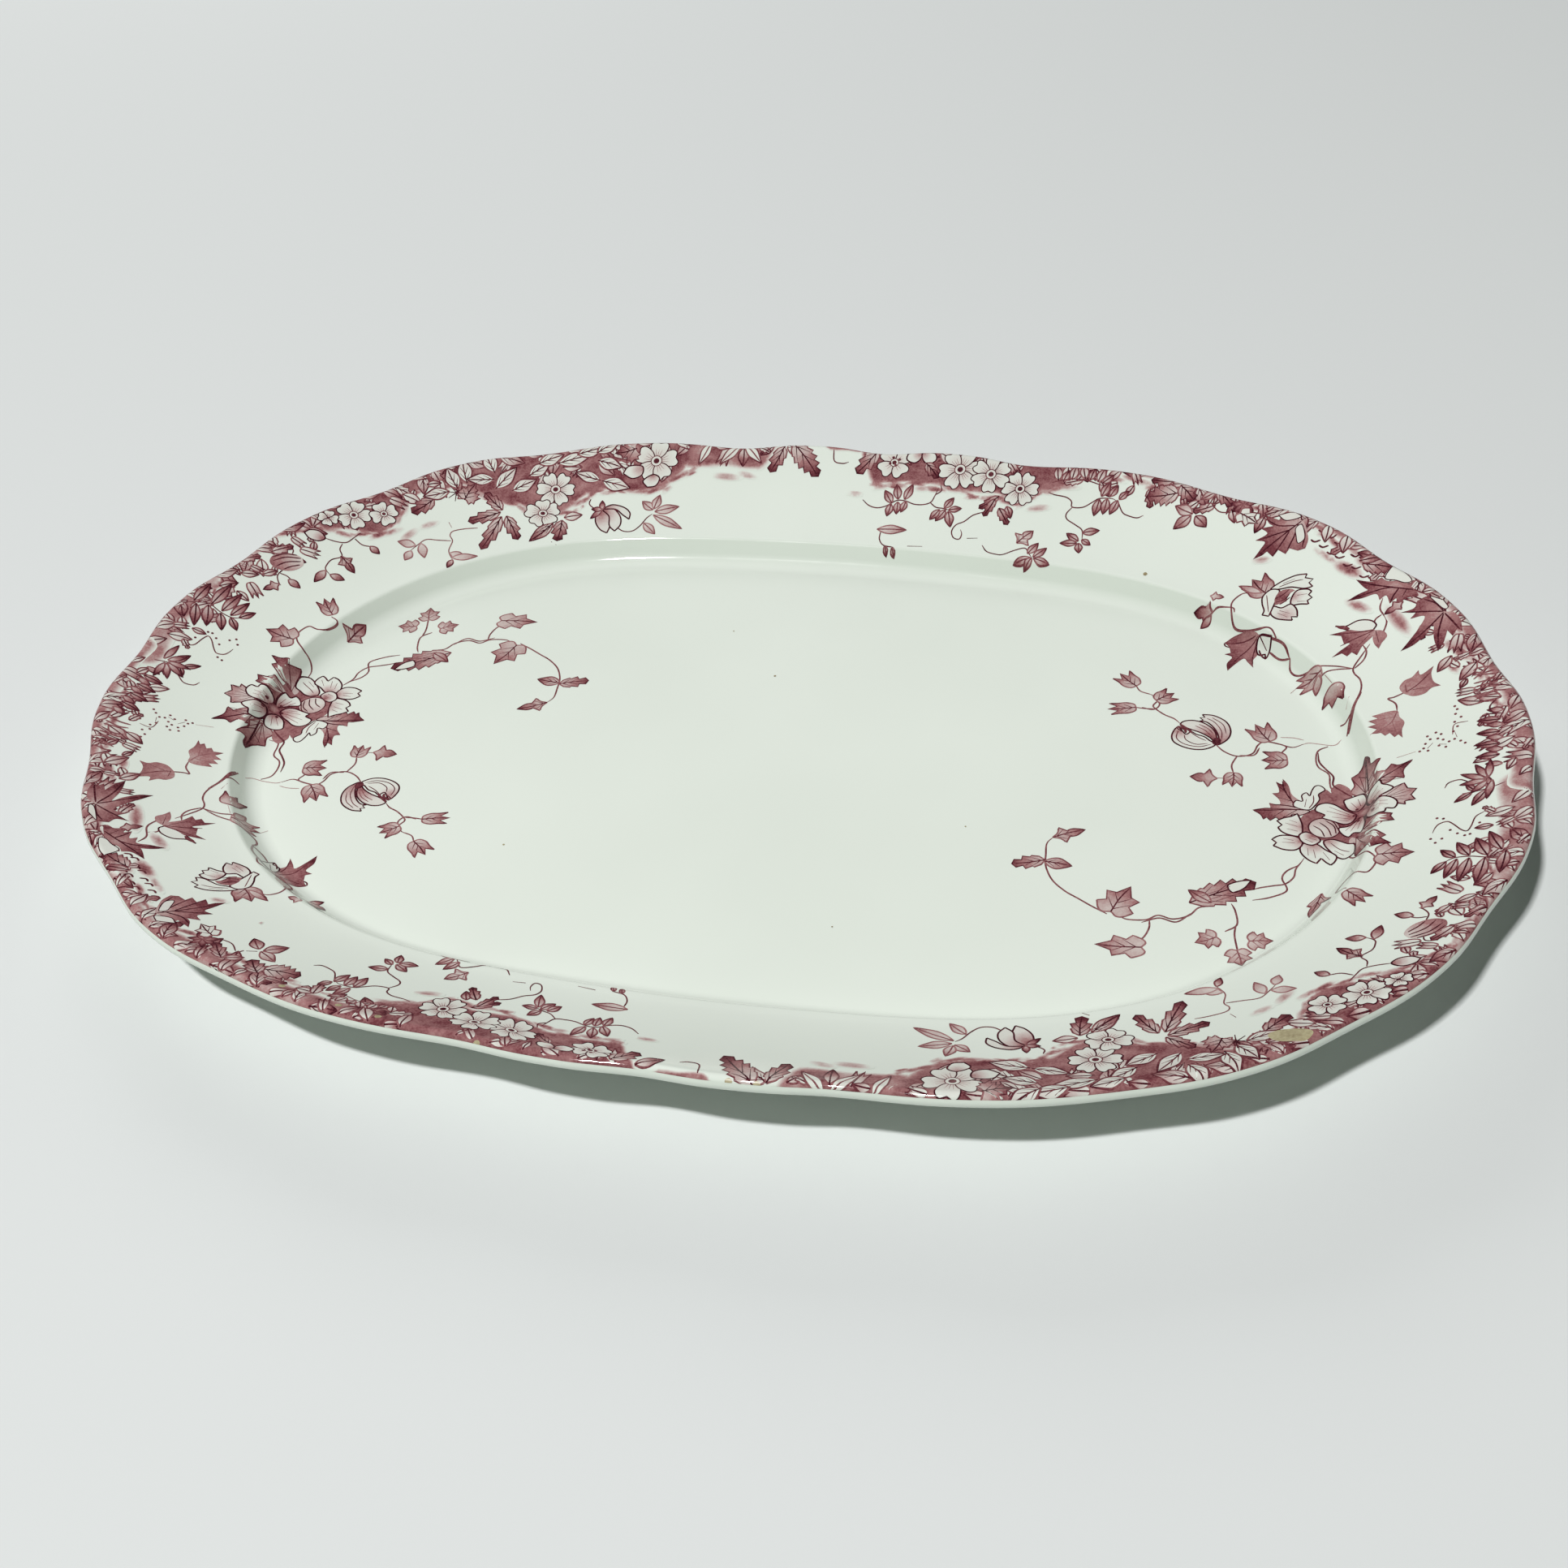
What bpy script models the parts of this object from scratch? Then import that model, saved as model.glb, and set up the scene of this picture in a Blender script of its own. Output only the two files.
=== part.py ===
"""An oval serving platter in glazed earthenware: one pressed and fired body with a gently lobed edge.

Run with: blender --background --python part.py
Metres, +Z up, +X along the platter's length. The foot stands on z = 0, and the origin is under the middle.
"""

import math

import bmesh
import bpy

NODE_NAME = "platter"

# Plan of the edge and of the rim's inner shoulder. The radius at an angle a is the sum of each term
# times cos(2 n a), which makes an oval fuller than an ellipse. Notches between the edge's lobes are
# given for one quarter and mirrored.
EDGE_TERMS = (0.1780, 0.0344, -0.0009, -0.00065, 0.0004)
SHOULDER_TERMS = (0.1362, 0.0335, 0.00145, -0.00084)
NOTCH_ANGLES = (0.0, 14.5, 30.5, 47.5, 70.5, 90.0)
NOTCH_DEPTH = 0.0018
NOTCH_SHARPNESS = 1.5
NOTCH_REACH = 0.030

# Section through the platter, by the inset from the edge. The rim's real width varies a little
# around the plan, and the section is stretched to fit it.
RIM_WIDTH = 0.0410
SHOULDER_HEIGHT = 0.0122
RIM_RISE = 0.0148
RIM_FLARE = 1.25
WALL_THICKNESS = 0.0042
WELL_EDGE = 0.0461
WELL_HEIGHT = 0.0050

# The foot ring, and the base that it lifts clear of the table.
FOOT_OUTER = 0.0447
FOOT_WIDTH = 0.0040
FOOT_SLOPE_WIDTH = 0.0014
UNDER_SHOULDER = (0.0390, 0.0080)
BASE_HEIGHT = 0.0013
CAP_MARGIN = 0.0065

# Corner radii, and how finely the curves are cut.
WELL_RADIUS = 0.0080
SHOULDER_RADIUS = 0.0024
UNDER_RADIUS = 0.0050
FOOT_RADIUS = 0.0009
WELL_STEPS = 5
CORNER_STEPS = 3
FOOT_STEPS = 1
RIM_STEPS = 6
LIP_STEPS = 6
COLUMNS = 144
SHARP_ANGLE = math.radians(40)

# Clear glaze over off-white earthenware.
GLAZE_COLOUR = (0.80, 0.83, 0.78, 1.0)
GLAZE_ROUGHNESS = 0.12


def clear_scene():
    for obj in list(bpy.data.objects):
        bpy.data.objects.remove(obj)


def oval_radius(terms, angle):
    """Distance from the middle to an oval at an angle."""
    return sum(term * math.cos(2 * n * angle) for n, term in enumerate(terms))


def notch_weight(angle):
    """1 at the bottom of a notch and 0 at the crown of a lobe."""
    folded = math.degrees(math.atan2(abs(math.sin(angle)), abs(math.cos(angle))))
    for low, high in zip(NOTCH_ANGLES, NOTCH_ANGLES[1:]):
        if folded <= high:
            phase = (folded - low) / (high - low)
            break
    else:
        phase = 1.0
    return (0.5 + 0.5 * math.cos(2 * math.pi * phase)) ** NOTCH_SHARPNESS


def plan_point(angle, inset):
    """The point at an angle, at an inset from the edge. The notches fade out inwards."""
    edge = oval_radius(EDGE_TERMS, angle)
    shoulder = oval_radius(SHOULDER_TERMS, angle)
    across_rim = min(1.0, inset / RIM_WIDTH)
    past_shoulder = max(0.0, inset - RIM_WIDTH)
    fade = max(0.0, 1.0 - inset / NOTCH_REACH) ** 2
    radius = edge + (shoulder - edge) * across_rim - past_shoulder
    radius -= NOTCH_DEPTH * notch_weight(angle) * fade
    return radius * math.cos(angle), radius * math.sin(angle)


def rim_height(inset):
    """Height of the rim's upper face, which curves upwards to the edge."""
    return SHOULDER_HEIGHT + RIM_RISE * ((RIM_WIDTH - inset) / RIM_WIDTH) ** RIM_FLARE


def rim_slope(inset):
    """How fast the rim's upper face rises towards the edge."""
    return RIM_RISE * RIM_FLARE / RIM_WIDTH * ((RIM_WIDTH - inset) / RIM_WIDTH) ** (RIM_FLARE - 1)


def rounded(before, corner, after, radius, steps):
    """The points of an arc that rounds a corner of the section."""
    to_before = math.atan2(before[1] - corner[1], before[0] - corner[0])
    to_after = math.atan2(after[1] - corner[1], after[0] - corner[0])
    between = (to_after - to_before + math.pi) % (2 * math.pi) - math.pi
    middle = to_before + between / 2
    reach = radius / math.sin(abs(between) / 2)
    centre = (corner[0] + reach * math.cos(middle), corner[1] + reach * math.sin(middle))
    turn = -math.copysign(math.pi - abs(between), between)
    start = middle + math.pi - turn / 2
    angles = [start + turn * step / steps for step in range(steps + 1)]
    return [(centre[0] + radius * math.cos(a), centre[1] + radius * math.sin(a)) for a in angles]


def lip_points():
    """The rounded lip, from the rim's upper face round to its under face."""
    radius = WALL_THICKNESS / 2
    tilt = math.atan(rim_slope(radius))
    join = radius * (1 + math.sin(tilt))
    centre = (radius, rim_height(join) - radius * math.cos(tilt))
    points = []
    for step in range(LIP_STEPS + 1):
        angle = math.pi / 2 - tilt + math.pi * step / LIP_STEPS
        points.append((centre[0] + radius * math.cos(angle), centre[1] + radius * math.sin(angle)))
    return points


def under_point(inset):
    """The point of the under face that is one wall thickness below a point of the rim."""
    tilt = math.atan(rim_slope(inset))
    return inset - WALL_THICKNESS * math.sin(tilt), rim_height(inset) - WALL_THICKNESS * math.cos(tilt)


def section():
    """(inset, height) points from the well, over the rim and lip, and back under to the base."""
    first_rim = RIM_WIDTH - SHOULDER_RADIUS
    rim_step = (first_rim - WALL_THICKNESS) / RIM_STEPS
    insets = [first_rim - step * rim_step for step in range(RIM_STEPS)]
    well_start = (WELL_EDGE + CAP_MARGIN, WELL_HEIGHT)
    well_corner = (WELL_EDGE, WELL_HEIGHT)
    shoulder = (RIM_WIDTH, SHOULDER_HEIGHT)
    rim = [(inset, rim_height(inset)) for inset in insets]
    under = [under_point(inset) for inset in reversed(insets)]
    foot_outer = (FOOT_OUTER, 0.0)
    foot_inner = (FOOT_OUTER + FOOT_WIDTH, 0.0)
    base_corner = (foot_inner[0] + FOOT_SLOPE_WIDTH, BASE_HEIGHT)
    base_end = (base_corner[0] + CAP_MARGIN, BASE_HEIGHT)
    points = [well_start]
    points += rounded(well_start, well_corner, shoulder, WELL_RADIUS, WELL_STEPS)
    points += rounded(well_corner, shoulder, rim[0], SHOULDER_RADIUS, CORNER_STEPS)
    points += rim
    points += lip_points()
    points += under
    points += rounded(under[-1], UNDER_SHOULDER, foot_outer, UNDER_RADIUS, CORNER_STEPS)
    points += rounded(UNDER_SHOULDER, foot_outer, foot_inner, FOOT_RADIUS, FOOT_STEPS)
    points += rounded(foot_outer, foot_inner, base_corner, FOOT_RADIUS, FOOT_STEPS)
    points += rounded(foot_inner, base_corner, base_end, FOOT_RADIUS, FOOT_STEPS)
    points.append(base_end)
    return points


def make_material():
    material = bpy.data.materials.new("glazed_earthenware")
    material.use_nodes = True
    shader = material.node_tree.nodes["Principled BSDF"]
    shader.inputs["Base Color"].default_value = GLAZE_COLOUR
    shader.inputs["Roughness"].default_value = GLAZE_ROUGHNESS
    shader.inputs["Metallic"].default_value = 0.0
    return material


def make_platter():
    """Sweeps the section round the plan, and closes the well floor and the base."""
    mesh_builder = bmesh.new()
    angles = [2 * math.pi * column / COLUMNS for column in range(COLUMNS)]
    rings = []
    for inset, height in section():
        ring = [mesh_builder.verts.new((*plan_point(angle, inset), height)) for angle in angles]
        rings.append(ring)
    for inner, outer in zip(rings, rings[1:]):
        for column in range(COLUMNS):
            after = (column + 1) % COLUMNS
            mesh_builder.faces.new((inner[column], outer[column], outer[after], inner[after]))
    mesh_builder.faces.new(rings[0])
    mesh_builder.faces.new(reversed(rings[-1]))
    bmesh.ops.recalc_face_normals(mesh_builder, faces=mesh_builder.faces)
    mesh = bpy.data.meshes.new(NODE_NAME)
    mesh_builder.to_mesh(mesh)
    mesh_builder.free()
    mesh.materials.append(make_material())
    mesh.shade_smooth()
    mesh.set_sharp_from_angle(angle=SHARP_ANGLE)
    platter = bpy.data.objects.new(NODE_NAME, mesh)
    bpy.context.collection.objects.link(platter)
    return platter


clear_scene()
make_platter()
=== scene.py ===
"""An oval serving platter in glazed earthenware with a dark plum print under the glaze.

The printed flowers are laid out flat, in millimetres on the platter's plan, joined into one sheet
without overlaps, and then laid on the glaze as a thin skin that follows the platter's upper face.
"""

import math

import bpy
import numpy as np
from mathutils import Matrix, Vector
from mathutils.geometry import delaunay_2d_cdt


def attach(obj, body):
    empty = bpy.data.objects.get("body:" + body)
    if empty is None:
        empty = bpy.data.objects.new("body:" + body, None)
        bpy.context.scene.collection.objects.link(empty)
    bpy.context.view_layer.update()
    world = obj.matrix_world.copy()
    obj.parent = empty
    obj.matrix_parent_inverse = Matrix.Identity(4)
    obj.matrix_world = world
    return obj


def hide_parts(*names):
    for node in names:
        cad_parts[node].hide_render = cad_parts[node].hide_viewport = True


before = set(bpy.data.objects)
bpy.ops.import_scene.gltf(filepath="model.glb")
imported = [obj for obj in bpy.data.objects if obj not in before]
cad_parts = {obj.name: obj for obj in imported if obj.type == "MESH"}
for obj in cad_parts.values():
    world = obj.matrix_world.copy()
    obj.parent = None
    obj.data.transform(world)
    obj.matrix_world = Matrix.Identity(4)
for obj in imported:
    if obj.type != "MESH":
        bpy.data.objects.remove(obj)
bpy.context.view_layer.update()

MM = 0.001

# ---------------------------------------------------------------- the platter's form, as in the part
# Plan of the edge and of the rim's inner shoulder: radius = sum of term * cos(2 n angle).
EDGE_TERMS = (0.1780, 0.0344, -0.0009, -0.00065, 0.0004)
SHOULDER_TERMS = (0.1362, 0.0335, 0.00145, -0.00084)
NOTCH_ANGLES = (0.0, 14.5, 30.5, 47.5, 70.5, 90.0)
NOTCH_DEPTH = 0.0018
NOTCH_SHARPNESS = 1.5
NOTCH_REACH = 0.030
NOTCH_DROP = 0.0010

# Section, by the inset from the edge.
RIM_WIDTH = 0.0410
SHOULDER_HEIGHT = 0.0122
RIM_RISE = 0.0148
RIM_FLARE = 1.25
WALL_THICKNESS = 0.0042
WELL_EDGE = 0.0461
WELL_HEIGHT = 0.0050
FOOT_OUTER = 0.0447
FOOT_WIDTH = 0.0040
FOOT_SLOPE_WIDTH = 0.0014
UNDER_SHOULDER = (0.0390, 0.0080)
BASE_HEIGHT = 0.0013
CAP_MARGIN = 0.0065
WELL_RADIUS = 0.0080
SHOULDER_RADIUS = 0.0024
UNDER_RADIUS = 0.0050
FOOT_RADIUS = 0.0009

# How finely the shown surface is cut.
COLUMNS = 640
WELL_STEPS = 16
CORNER_STEPS = 9
FOOT_STEPS = 4
RIM_STEPS = 26
LIP_STEPS = 14
FLOOR_RINGS = 9


def oval_radius(terms, angle):
    """Distance from the middle to an oval at an angle."""
    return sum(term * np.cos(2 * n * angle) for n, term in enumerate(terms))


def notch_weight(angle):
    """1 at the bottom of a notch between two lobes of the edge and 0 at a lobe's crown."""
    folded = np.degrees(np.arctan2(np.abs(np.sin(angle)), np.abs(np.cos(angle))))
    phase = np.interp(folded, NOTCH_ANGLES, np.arange(len(NOTCH_ANGLES)))
    return (0.5 + 0.5 * np.cos(2 * np.pi * phase)) ** NOTCH_SHARPNESS


def plan_radius(angle, inset):
    """Distance from the middle at an angle and an inset from the edge."""
    edge = oval_radius(EDGE_TERMS, angle)
    shoulder = oval_radius(SHOULDER_TERMS, angle)
    across_rim = np.minimum(1.0, inset / RIM_WIDTH)
    past_shoulder = np.maximum(0.0, inset - RIM_WIDTH)
    fade = np.maximum(0.0, 1.0 - inset / NOTCH_REACH) ** 2
    lobed = edge + (shoulder - edge) * across_rim - past_shoulder
    return lobed - NOTCH_DEPTH * notch_weight(angle) * fade


def notch_drop(angle, inset):
    """How much lower the rim is near a notch, where its edge is cut further down the slope."""
    return NOTCH_DROP * notch_weight(angle) * np.maximum(0.0, 1.0 - inset / NOTCH_REACH) ** 2


def inset_at(x, y):
    """The inset from the edge of a point in plan, and its angle: plan_radius solved by repetition."""
    angle = np.arctan2(y, x)
    radius = np.hypot(x, y)
    edge = oval_radius(EDGE_TERMS, angle)
    shoulder = oval_radius(SHOULDER_TERMS, angle)
    notch = NOTCH_DEPTH * notch_weight(angle)
    inset = (edge - radius) / (edge - shoulder) * RIM_WIDTH
    for _ in range(5):
        fade = np.maximum(0.0, 1.0 - inset / NOTCH_REACH) ** 2
        inset = (edge - notch * fade - radius) / (edge - shoulder) * RIM_WIDTH
    return np.where(radius < shoulder, RIM_WIDTH + shoulder - radius, np.maximum(inset, 0.0)), angle


def rim_height(inset):
    return SHOULDER_HEIGHT + RIM_RISE * ((RIM_WIDTH - inset) / RIM_WIDTH) ** RIM_FLARE


def rim_slope(inset):
    return RIM_RISE * RIM_FLARE / RIM_WIDTH * ((RIM_WIDTH - inset) / RIM_WIDTH) ** (RIM_FLARE - 1)


def rounded(before, corner, after, radius, steps):
    """The points of an arc that rounds a corner of the section."""
    to_before = math.atan2(before[1] - corner[1], before[0] - corner[0])
    to_after = math.atan2(after[1] - corner[1], after[0] - corner[0])
    between = (to_after - to_before + math.pi) % (2 * math.pi) - math.pi
    middle = to_before + between / 2
    reach = radius / math.sin(abs(between) / 2)
    centre = (corner[0] + reach * math.cos(middle), corner[1] + reach * math.sin(middle))
    turn = -math.copysign(math.pi - abs(between), between)
    start = middle + math.pi - turn / 2
    angles = [start + turn * step / steps for step in range(steps + 1)]
    return [(centre[0] + radius * math.cos(a), centre[1] + radius * math.sin(a)) for a in angles]


def lip_points():
    """The rounded lip, from the rim's upper face round to its under face."""
    radius = WALL_THICKNESS / 2
    tilt = math.atan(rim_slope(radius))
    join = radius * (1 + math.sin(tilt))
    centre = (radius, rim_height(join) - radius * math.cos(tilt))
    points = []
    for step in range(LIP_STEPS + 1):
        angle = math.pi / 2 - tilt + math.pi * step / LIP_STEPS
        points.append((centre[0] + radius * math.cos(angle), centre[1] + radius * math.sin(angle)))
    return points


def under_point(inset):
    """The point of the under face that is one wall thickness below a point of the rim."""
    tilt = math.atan(rim_slope(inset))
    return inset - WALL_THICKNESS * math.sin(tilt), rim_height(inset) - WALL_THICKNESS * math.cos(tilt)


def upper_section():
    """(inset, height) points from the well floor to the lip's outermost point."""
    first_rim = RIM_WIDTH - 1.2 * SHOULDER_RADIUS
    insets = np.linspace(first_rim, WALL_THICKNESS, RIM_STEPS)
    well_start = (WELL_EDGE + CAP_MARGIN, WELL_HEIGHT)
    well_corner = (WELL_EDGE, WELL_HEIGHT)
    shoulder = (RIM_WIDTH, SHOULDER_HEIGHT)
    rim = [(inset, rim_height(inset)) for inset in insets]
    points = [well_start]
    points += rounded(well_start, well_corner, shoulder, WELL_RADIUS, WELL_STEPS)
    points += rounded(well_corner, shoulder, rim[0], SHOULDER_RADIUS, CORNER_STEPS)
    return points + rim


def under_section():
    """(inset, height) points from the lip, back under the rim to the base."""
    first_rim = RIM_WIDTH - SHOULDER_RADIUS
    insets = np.linspace(WALL_THICKNESS, first_rim, RIM_STEPS)
    under = [under_point(inset) for inset in insets]
    foot_outer = (FOOT_OUTER, 0.0)
    foot_inner = (FOOT_OUTER + FOOT_WIDTH, 0.0)
    base_corner = (foot_inner[0] + FOOT_SLOPE_WIDTH, BASE_HEIGHT)
    base_end = (base_corner[0] + CAP_MARGIN, BASE_HEIGHT)
    points = under
    points += rounded(under[-1], UNDER_SHOULDER, foot_outer, UNDER_RADIUS, CORNER_STEPS)
    points += rounded(UNDER_SHOULDER, foot_outer, foot_inner, FOOT_RADIUS, FOOT_STEPS)
    points += rounded(foot_outer, foot_inner, base_corner, FOOT_RADIUS, FOOT_STEPS)
    points += rounded(foot_inner, base_corner, base_end, FOOT_RADIUS, FOOT_STEPS)
    points.append(base_end)
    return points


def make_body():
    """The fired body: the section swept round the plan, with rings closing the well floor and base."""
    section = np.array(upper_section() + lip_points() + under_section())
    angles = np.arange(COLUMNS) * 2 * np.pi / COLUMNS
    unit = np.stack([np.cos(angles), np.sin(angles)], axis=1)
    rings = [(plan_radius(angles, inset), height - notch_drop(angles, inset)) for inset, height in section]
    inwards = np.linspace(1.0, 0.0, FLOOR_RINGS + 1)[1:-1]
    level = np.ones(COLUMNS)
    top = [(rings[0][0] * share, WELL_HEIGHT * level) for share in reversed(inwards)]
    bottom = [(rings[-1][0] * share, BASE_HEIGHT * level) for share in inwards]
    rings = top + rings + bottom
    points = [np.column_stack([unit * radius[:, None], height]) for radius, height in rings]
    points = np.concatenate(points + [[[0.0, 0.0, WELL_HEIGHT], [0.0, 0.0, BASE_HEIGHT]]])
    column = np.arange(COLUMNS)
    after = (column + 1) % COLUMNS
    faces = []
    for ring in range(len(rings) - 1):
        low, high = ring * COLUMNS, (ring + 1) * COLUMNS
        faces += np.column_stack([low + column, high + column, high + after, low + after]).tolist()
    last = (len(rings) - 1) * COLUMNS
    top_middle, base_middle = len(points) - 2, len(points) - 1
    faces += [[top_middle, int(a), int(b)] for a, b in zip(column, after)]
    faces += [[base_middle, int(last + b), int(last + a)] for a, b in zip(column, after)]
    mesh = bpy.data.meshes.new("platter_body")
    mesh.from_pydata(points.tolist(), [], faces)
    mesh.shade_smooth()
    body = bpy.data.objects.new("platter_body", mesh)
    bpy.context.collection.objects.link(body)
    return body


# ---------------------------------------------------------------- drawing in the flat, in millimetres
# Ink runs from 0 to 1. The steps are the spacing of points along smooth curves.
DARK = 1.0
LINE = 0.60
FILL_STEP = 0.7
STROKE_STEP = 0.6


def smooth_run(points, closed=False, step=FILL_STEP):
    """A Catmull-Rom curve through the points."""
    points = np.asarray(points, float)
    if len(points) == 2 and not closed:
        return points
    if closed:
        padded = np.vstack([points[-1], points, points[0], points[1]])
    else:
        padded = np.vstack([2 * points[0] - points[1], points, 2 * points[-1] - points[-2]])
    pieces = []
    for a, b, c, d in zip(padded, padded[1:], padded[2:], padded[3:]):
        count = max(1, int(math.ceil(np.hypot(*(c - b)) / step)))
        t = (np.arange(count) / count)[:, None]
        pieces.append(0.5 * (2 * b + (c - a) * t + (2 * a - 5 * b + 4 * c - d) * t**2
                             + (3 * b - a - 3 * c + d) * t**3))
    if not closed:
        pieces.append(points[-1:])
    return np.vstack(pieces)


def outline(points, step=FILL_STEP):
    """A closed outline: smooth through its points, but sharp at each point given with a third value."""
    corners = [i for i, p in enumerate(points) if len(p) == 3]
    flat = [p[:2] for p in points]
    if not corners:
        return smooth_run(flat, True, step)
    runs = []
    for i, start in enumerate(corners):
        end = corners[(i + 1) % len(corners)]
        if end <= start:
            end += len(flat)
        run = [flat[k % len(flat)] for k in range(start, end + 1)]
        runs.append(smooth_run(run, False, step)[:-1])
    return np.vstack(runs)


def placed(points, x, y, angle, along, across):
    """Unit points, scaled along and across, turned by an angle in degrees and moved to x, y."""
    turn = math.radians(angle)
    out = []
    for p in points:
        u, v = p[0] * along, p[1] * across
        moved = (x + u * math.cos(turn) - v * math.sin(turn), y + u * math.sin(turn) + v * math.cos(turn))
        out.append(moved + tuple(p[2:]))
    return out


def ring(x, y, wide, high, count=8):
    """Points round an ellipse."""
    angles = np.linspace(0, 2 * math.pi, count + 1)[:-1]
    return [(x + wide * math.cos(a), y + high * math.sin(a)) for a in angles]


def no_drift(points):
    return np.zeros_like(points)


class Sheet:
    """Shapes in paint order. A covering shape hides the ink below it, and another one only deepens it.

    Shapes are drawn where they lie on one side of the platter. A sign of -1 turns them half round to the
    other side, where drift says how far off each point of the second cut was laid.
    """

    def __init__(self):
        self.shapes = []
        self.sign = 1
        self.drift = no_drift

    def lay(self, sign, drift=no_drift):
        self.sign, self.drift = sign, drift

    def add(self, cells, ink, cover=True):
        sign, drift = self.sign, self.drift

        def moved_ink(points):
            drawn = sign * points
            for _ in range(3):
                drawn = sign * (points - drift(drawn))
            return ink(drawn)
        moved = [sign * cell + drift(cell) for cell in cells]
        self.shapes.append((moved, moved_ink if callable(ink) else ink, cover))

    def fill(self, points, ink, cover=True, step=FILL_STEP):
        self.add([outline(points, step)], ink, cover)

    def stroke(self, points, width, ink, ends, closed=False, step=STROKE_STEP):
        """A line of varying width: ends are its widths there as shares of its full width."""
        path = smooth_run([p[:2] for p in points], closed, step)
        if closed:
            path = np.vstack([path, path[:1]])
        self.ribbon(path, width, ink, ends)

    def edge(self, points, width, ink, step=STROKE_STEP):
        """A line round a closed outline."""
        path = outline(points, step)
        self.ribbon(np.vstack([path, path[:1]]), width, ink, (1.0, 1.0))

    def ribbon(self, path, width, ink, ends):
        path = np.asarray(path, float)
        keep = np.r_[True, np.hypot(*np.diff(path, axis=0).T) > 0.05]
        path = path[keep]
        if len(path) < 2:
            return
        ahead = np.gradient(path, axis=0)
        ahead /= np.maximum(np.hypot(*ahead.T), 1e-9)[:, None]
        side = np.stack([-ahead[:, 1], ahead[:, 0]], axis=1)
        place = np.linspace(0, 1, len(path))
        share = np.minimum(1.0, np.minimum(ends[0] + 4 * place, ends[1] + 4 * (1 - place)))
        half = (0.5 * width * share)[:, None]
        left, right = path + side * half, path - side * half
        cells = [np.array([right[i], right[i + 1], left[i + 1], left[i]]) for i in range(len(path) - 1)]
        self.add(cells, ink)


def fade(x, low, high):
    """0 below a low limit, 1 above a high one and smooth in between."""
    t = np.clip((x - low) / (high - low), 0.0, 1.0)
    return t * t * (3 - 2 * t)


def from_point(centre, reach, first, last, power=1.0):
    """Ink that changes with the distance from a point."""
    centre = np.asarray(centre, float)

    def ink(points):
        away = np.clip(np.hypot(*(points - centre).T) / reach, 0, 1)
        return first + (last - first) * away**power
    return ink


# Leaf outlines for a leaf of length 1 from its stalk to its tip, and for a width of 1.
LENS = ((0, 0, 1), (0.22, 0.36), (0.5, 0.5), (0.8, 0.25), (1, 0, 1), (0.8, -0.25), (0.5, -0.5), (0.22, -0.36))
TULIP = ((0, 0), (0.04, 0.30), (0.3, 0.48), (0.6, 0.47), (0.92, 0.52, 1), (0.66, 0.2, 1), (1, 0, 1),
         (0.66, -0.2, 1), (0.92, -0.52, 1), (0.6, -0.47), (0.3, -0.48), (0.04, -0.30))
IVY = ((0, 0), (-0.08, 0.2), (-0.02, 0.38), (0.2, 0.56, 1), (0.34, 0.34, 1), (0.62, 0.5, 1), (0.66, 0.22, 1),
       (1, 0, 1), (0.66, -0.22, 1), (0.62, -0.5, 1), (0.34, -0.34, 1), (0.2, -0.56, 1), (-0.02, -0.38),
       (-0.08, -0.2))
TREFOIL = ((0, 0, 1), (0.2, 0.2), (0.3, 0.5, 1), (0.48, 0.2, 1), (0.7, 0.22), (1, 0, 1), (0.7, -0.22),
           (0.48, -0.2, 1), (0.3, -0.5, 1), (0.2, -0.2))


def toothed(teeth, sharp=0.72):
    """A long leaf with saw teeth on both sides."""
    def side(sign):
        points = []
        for tooth in range(teeth):
            t = 0.12 + 0.8 * (tooth + 0.5) / teeth
            wide = 0.5 * math.sin(math.pi * t**0.8) ** 0.8
            points.append((t - 0.3 / teeth, sign * wide * sharp, 1))
            points.append((t + 0.35 / teeth, sign * wide, 1))
        return points
    return ((0, 0, 1),) + tuple(side(1)) + ((1, 0, 1),) + tuple(reversed(side(-1)))


def lobed_and_toothed():
    """A broad leaf: two side lobes and a tip, each with teeth."""
    half = ((0.02, 0.12), (-0.1, 0.3, 1), (0.05, 0.36, 1), (0.02, 0.5, 1), (0.2, 0.46, 1), (0.42, 0.62, 1),
            (0.4, 0.44, 1), (0.56, 0.46, 1), (0.5, 0.26, 1), (0.72, 0.28, 1), (0.74, 0.14, 1))
    mirrored = tuple((p[0], -p[1]) + p[2:] for p in reversed(half))
    return ((0.05, 0, 1),) + half + ((1, 0, 1),) + mirrored


SAW = toothed(5)
SAW3 = toothed(3)
MAPLE = lobed_and_toothed()


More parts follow.
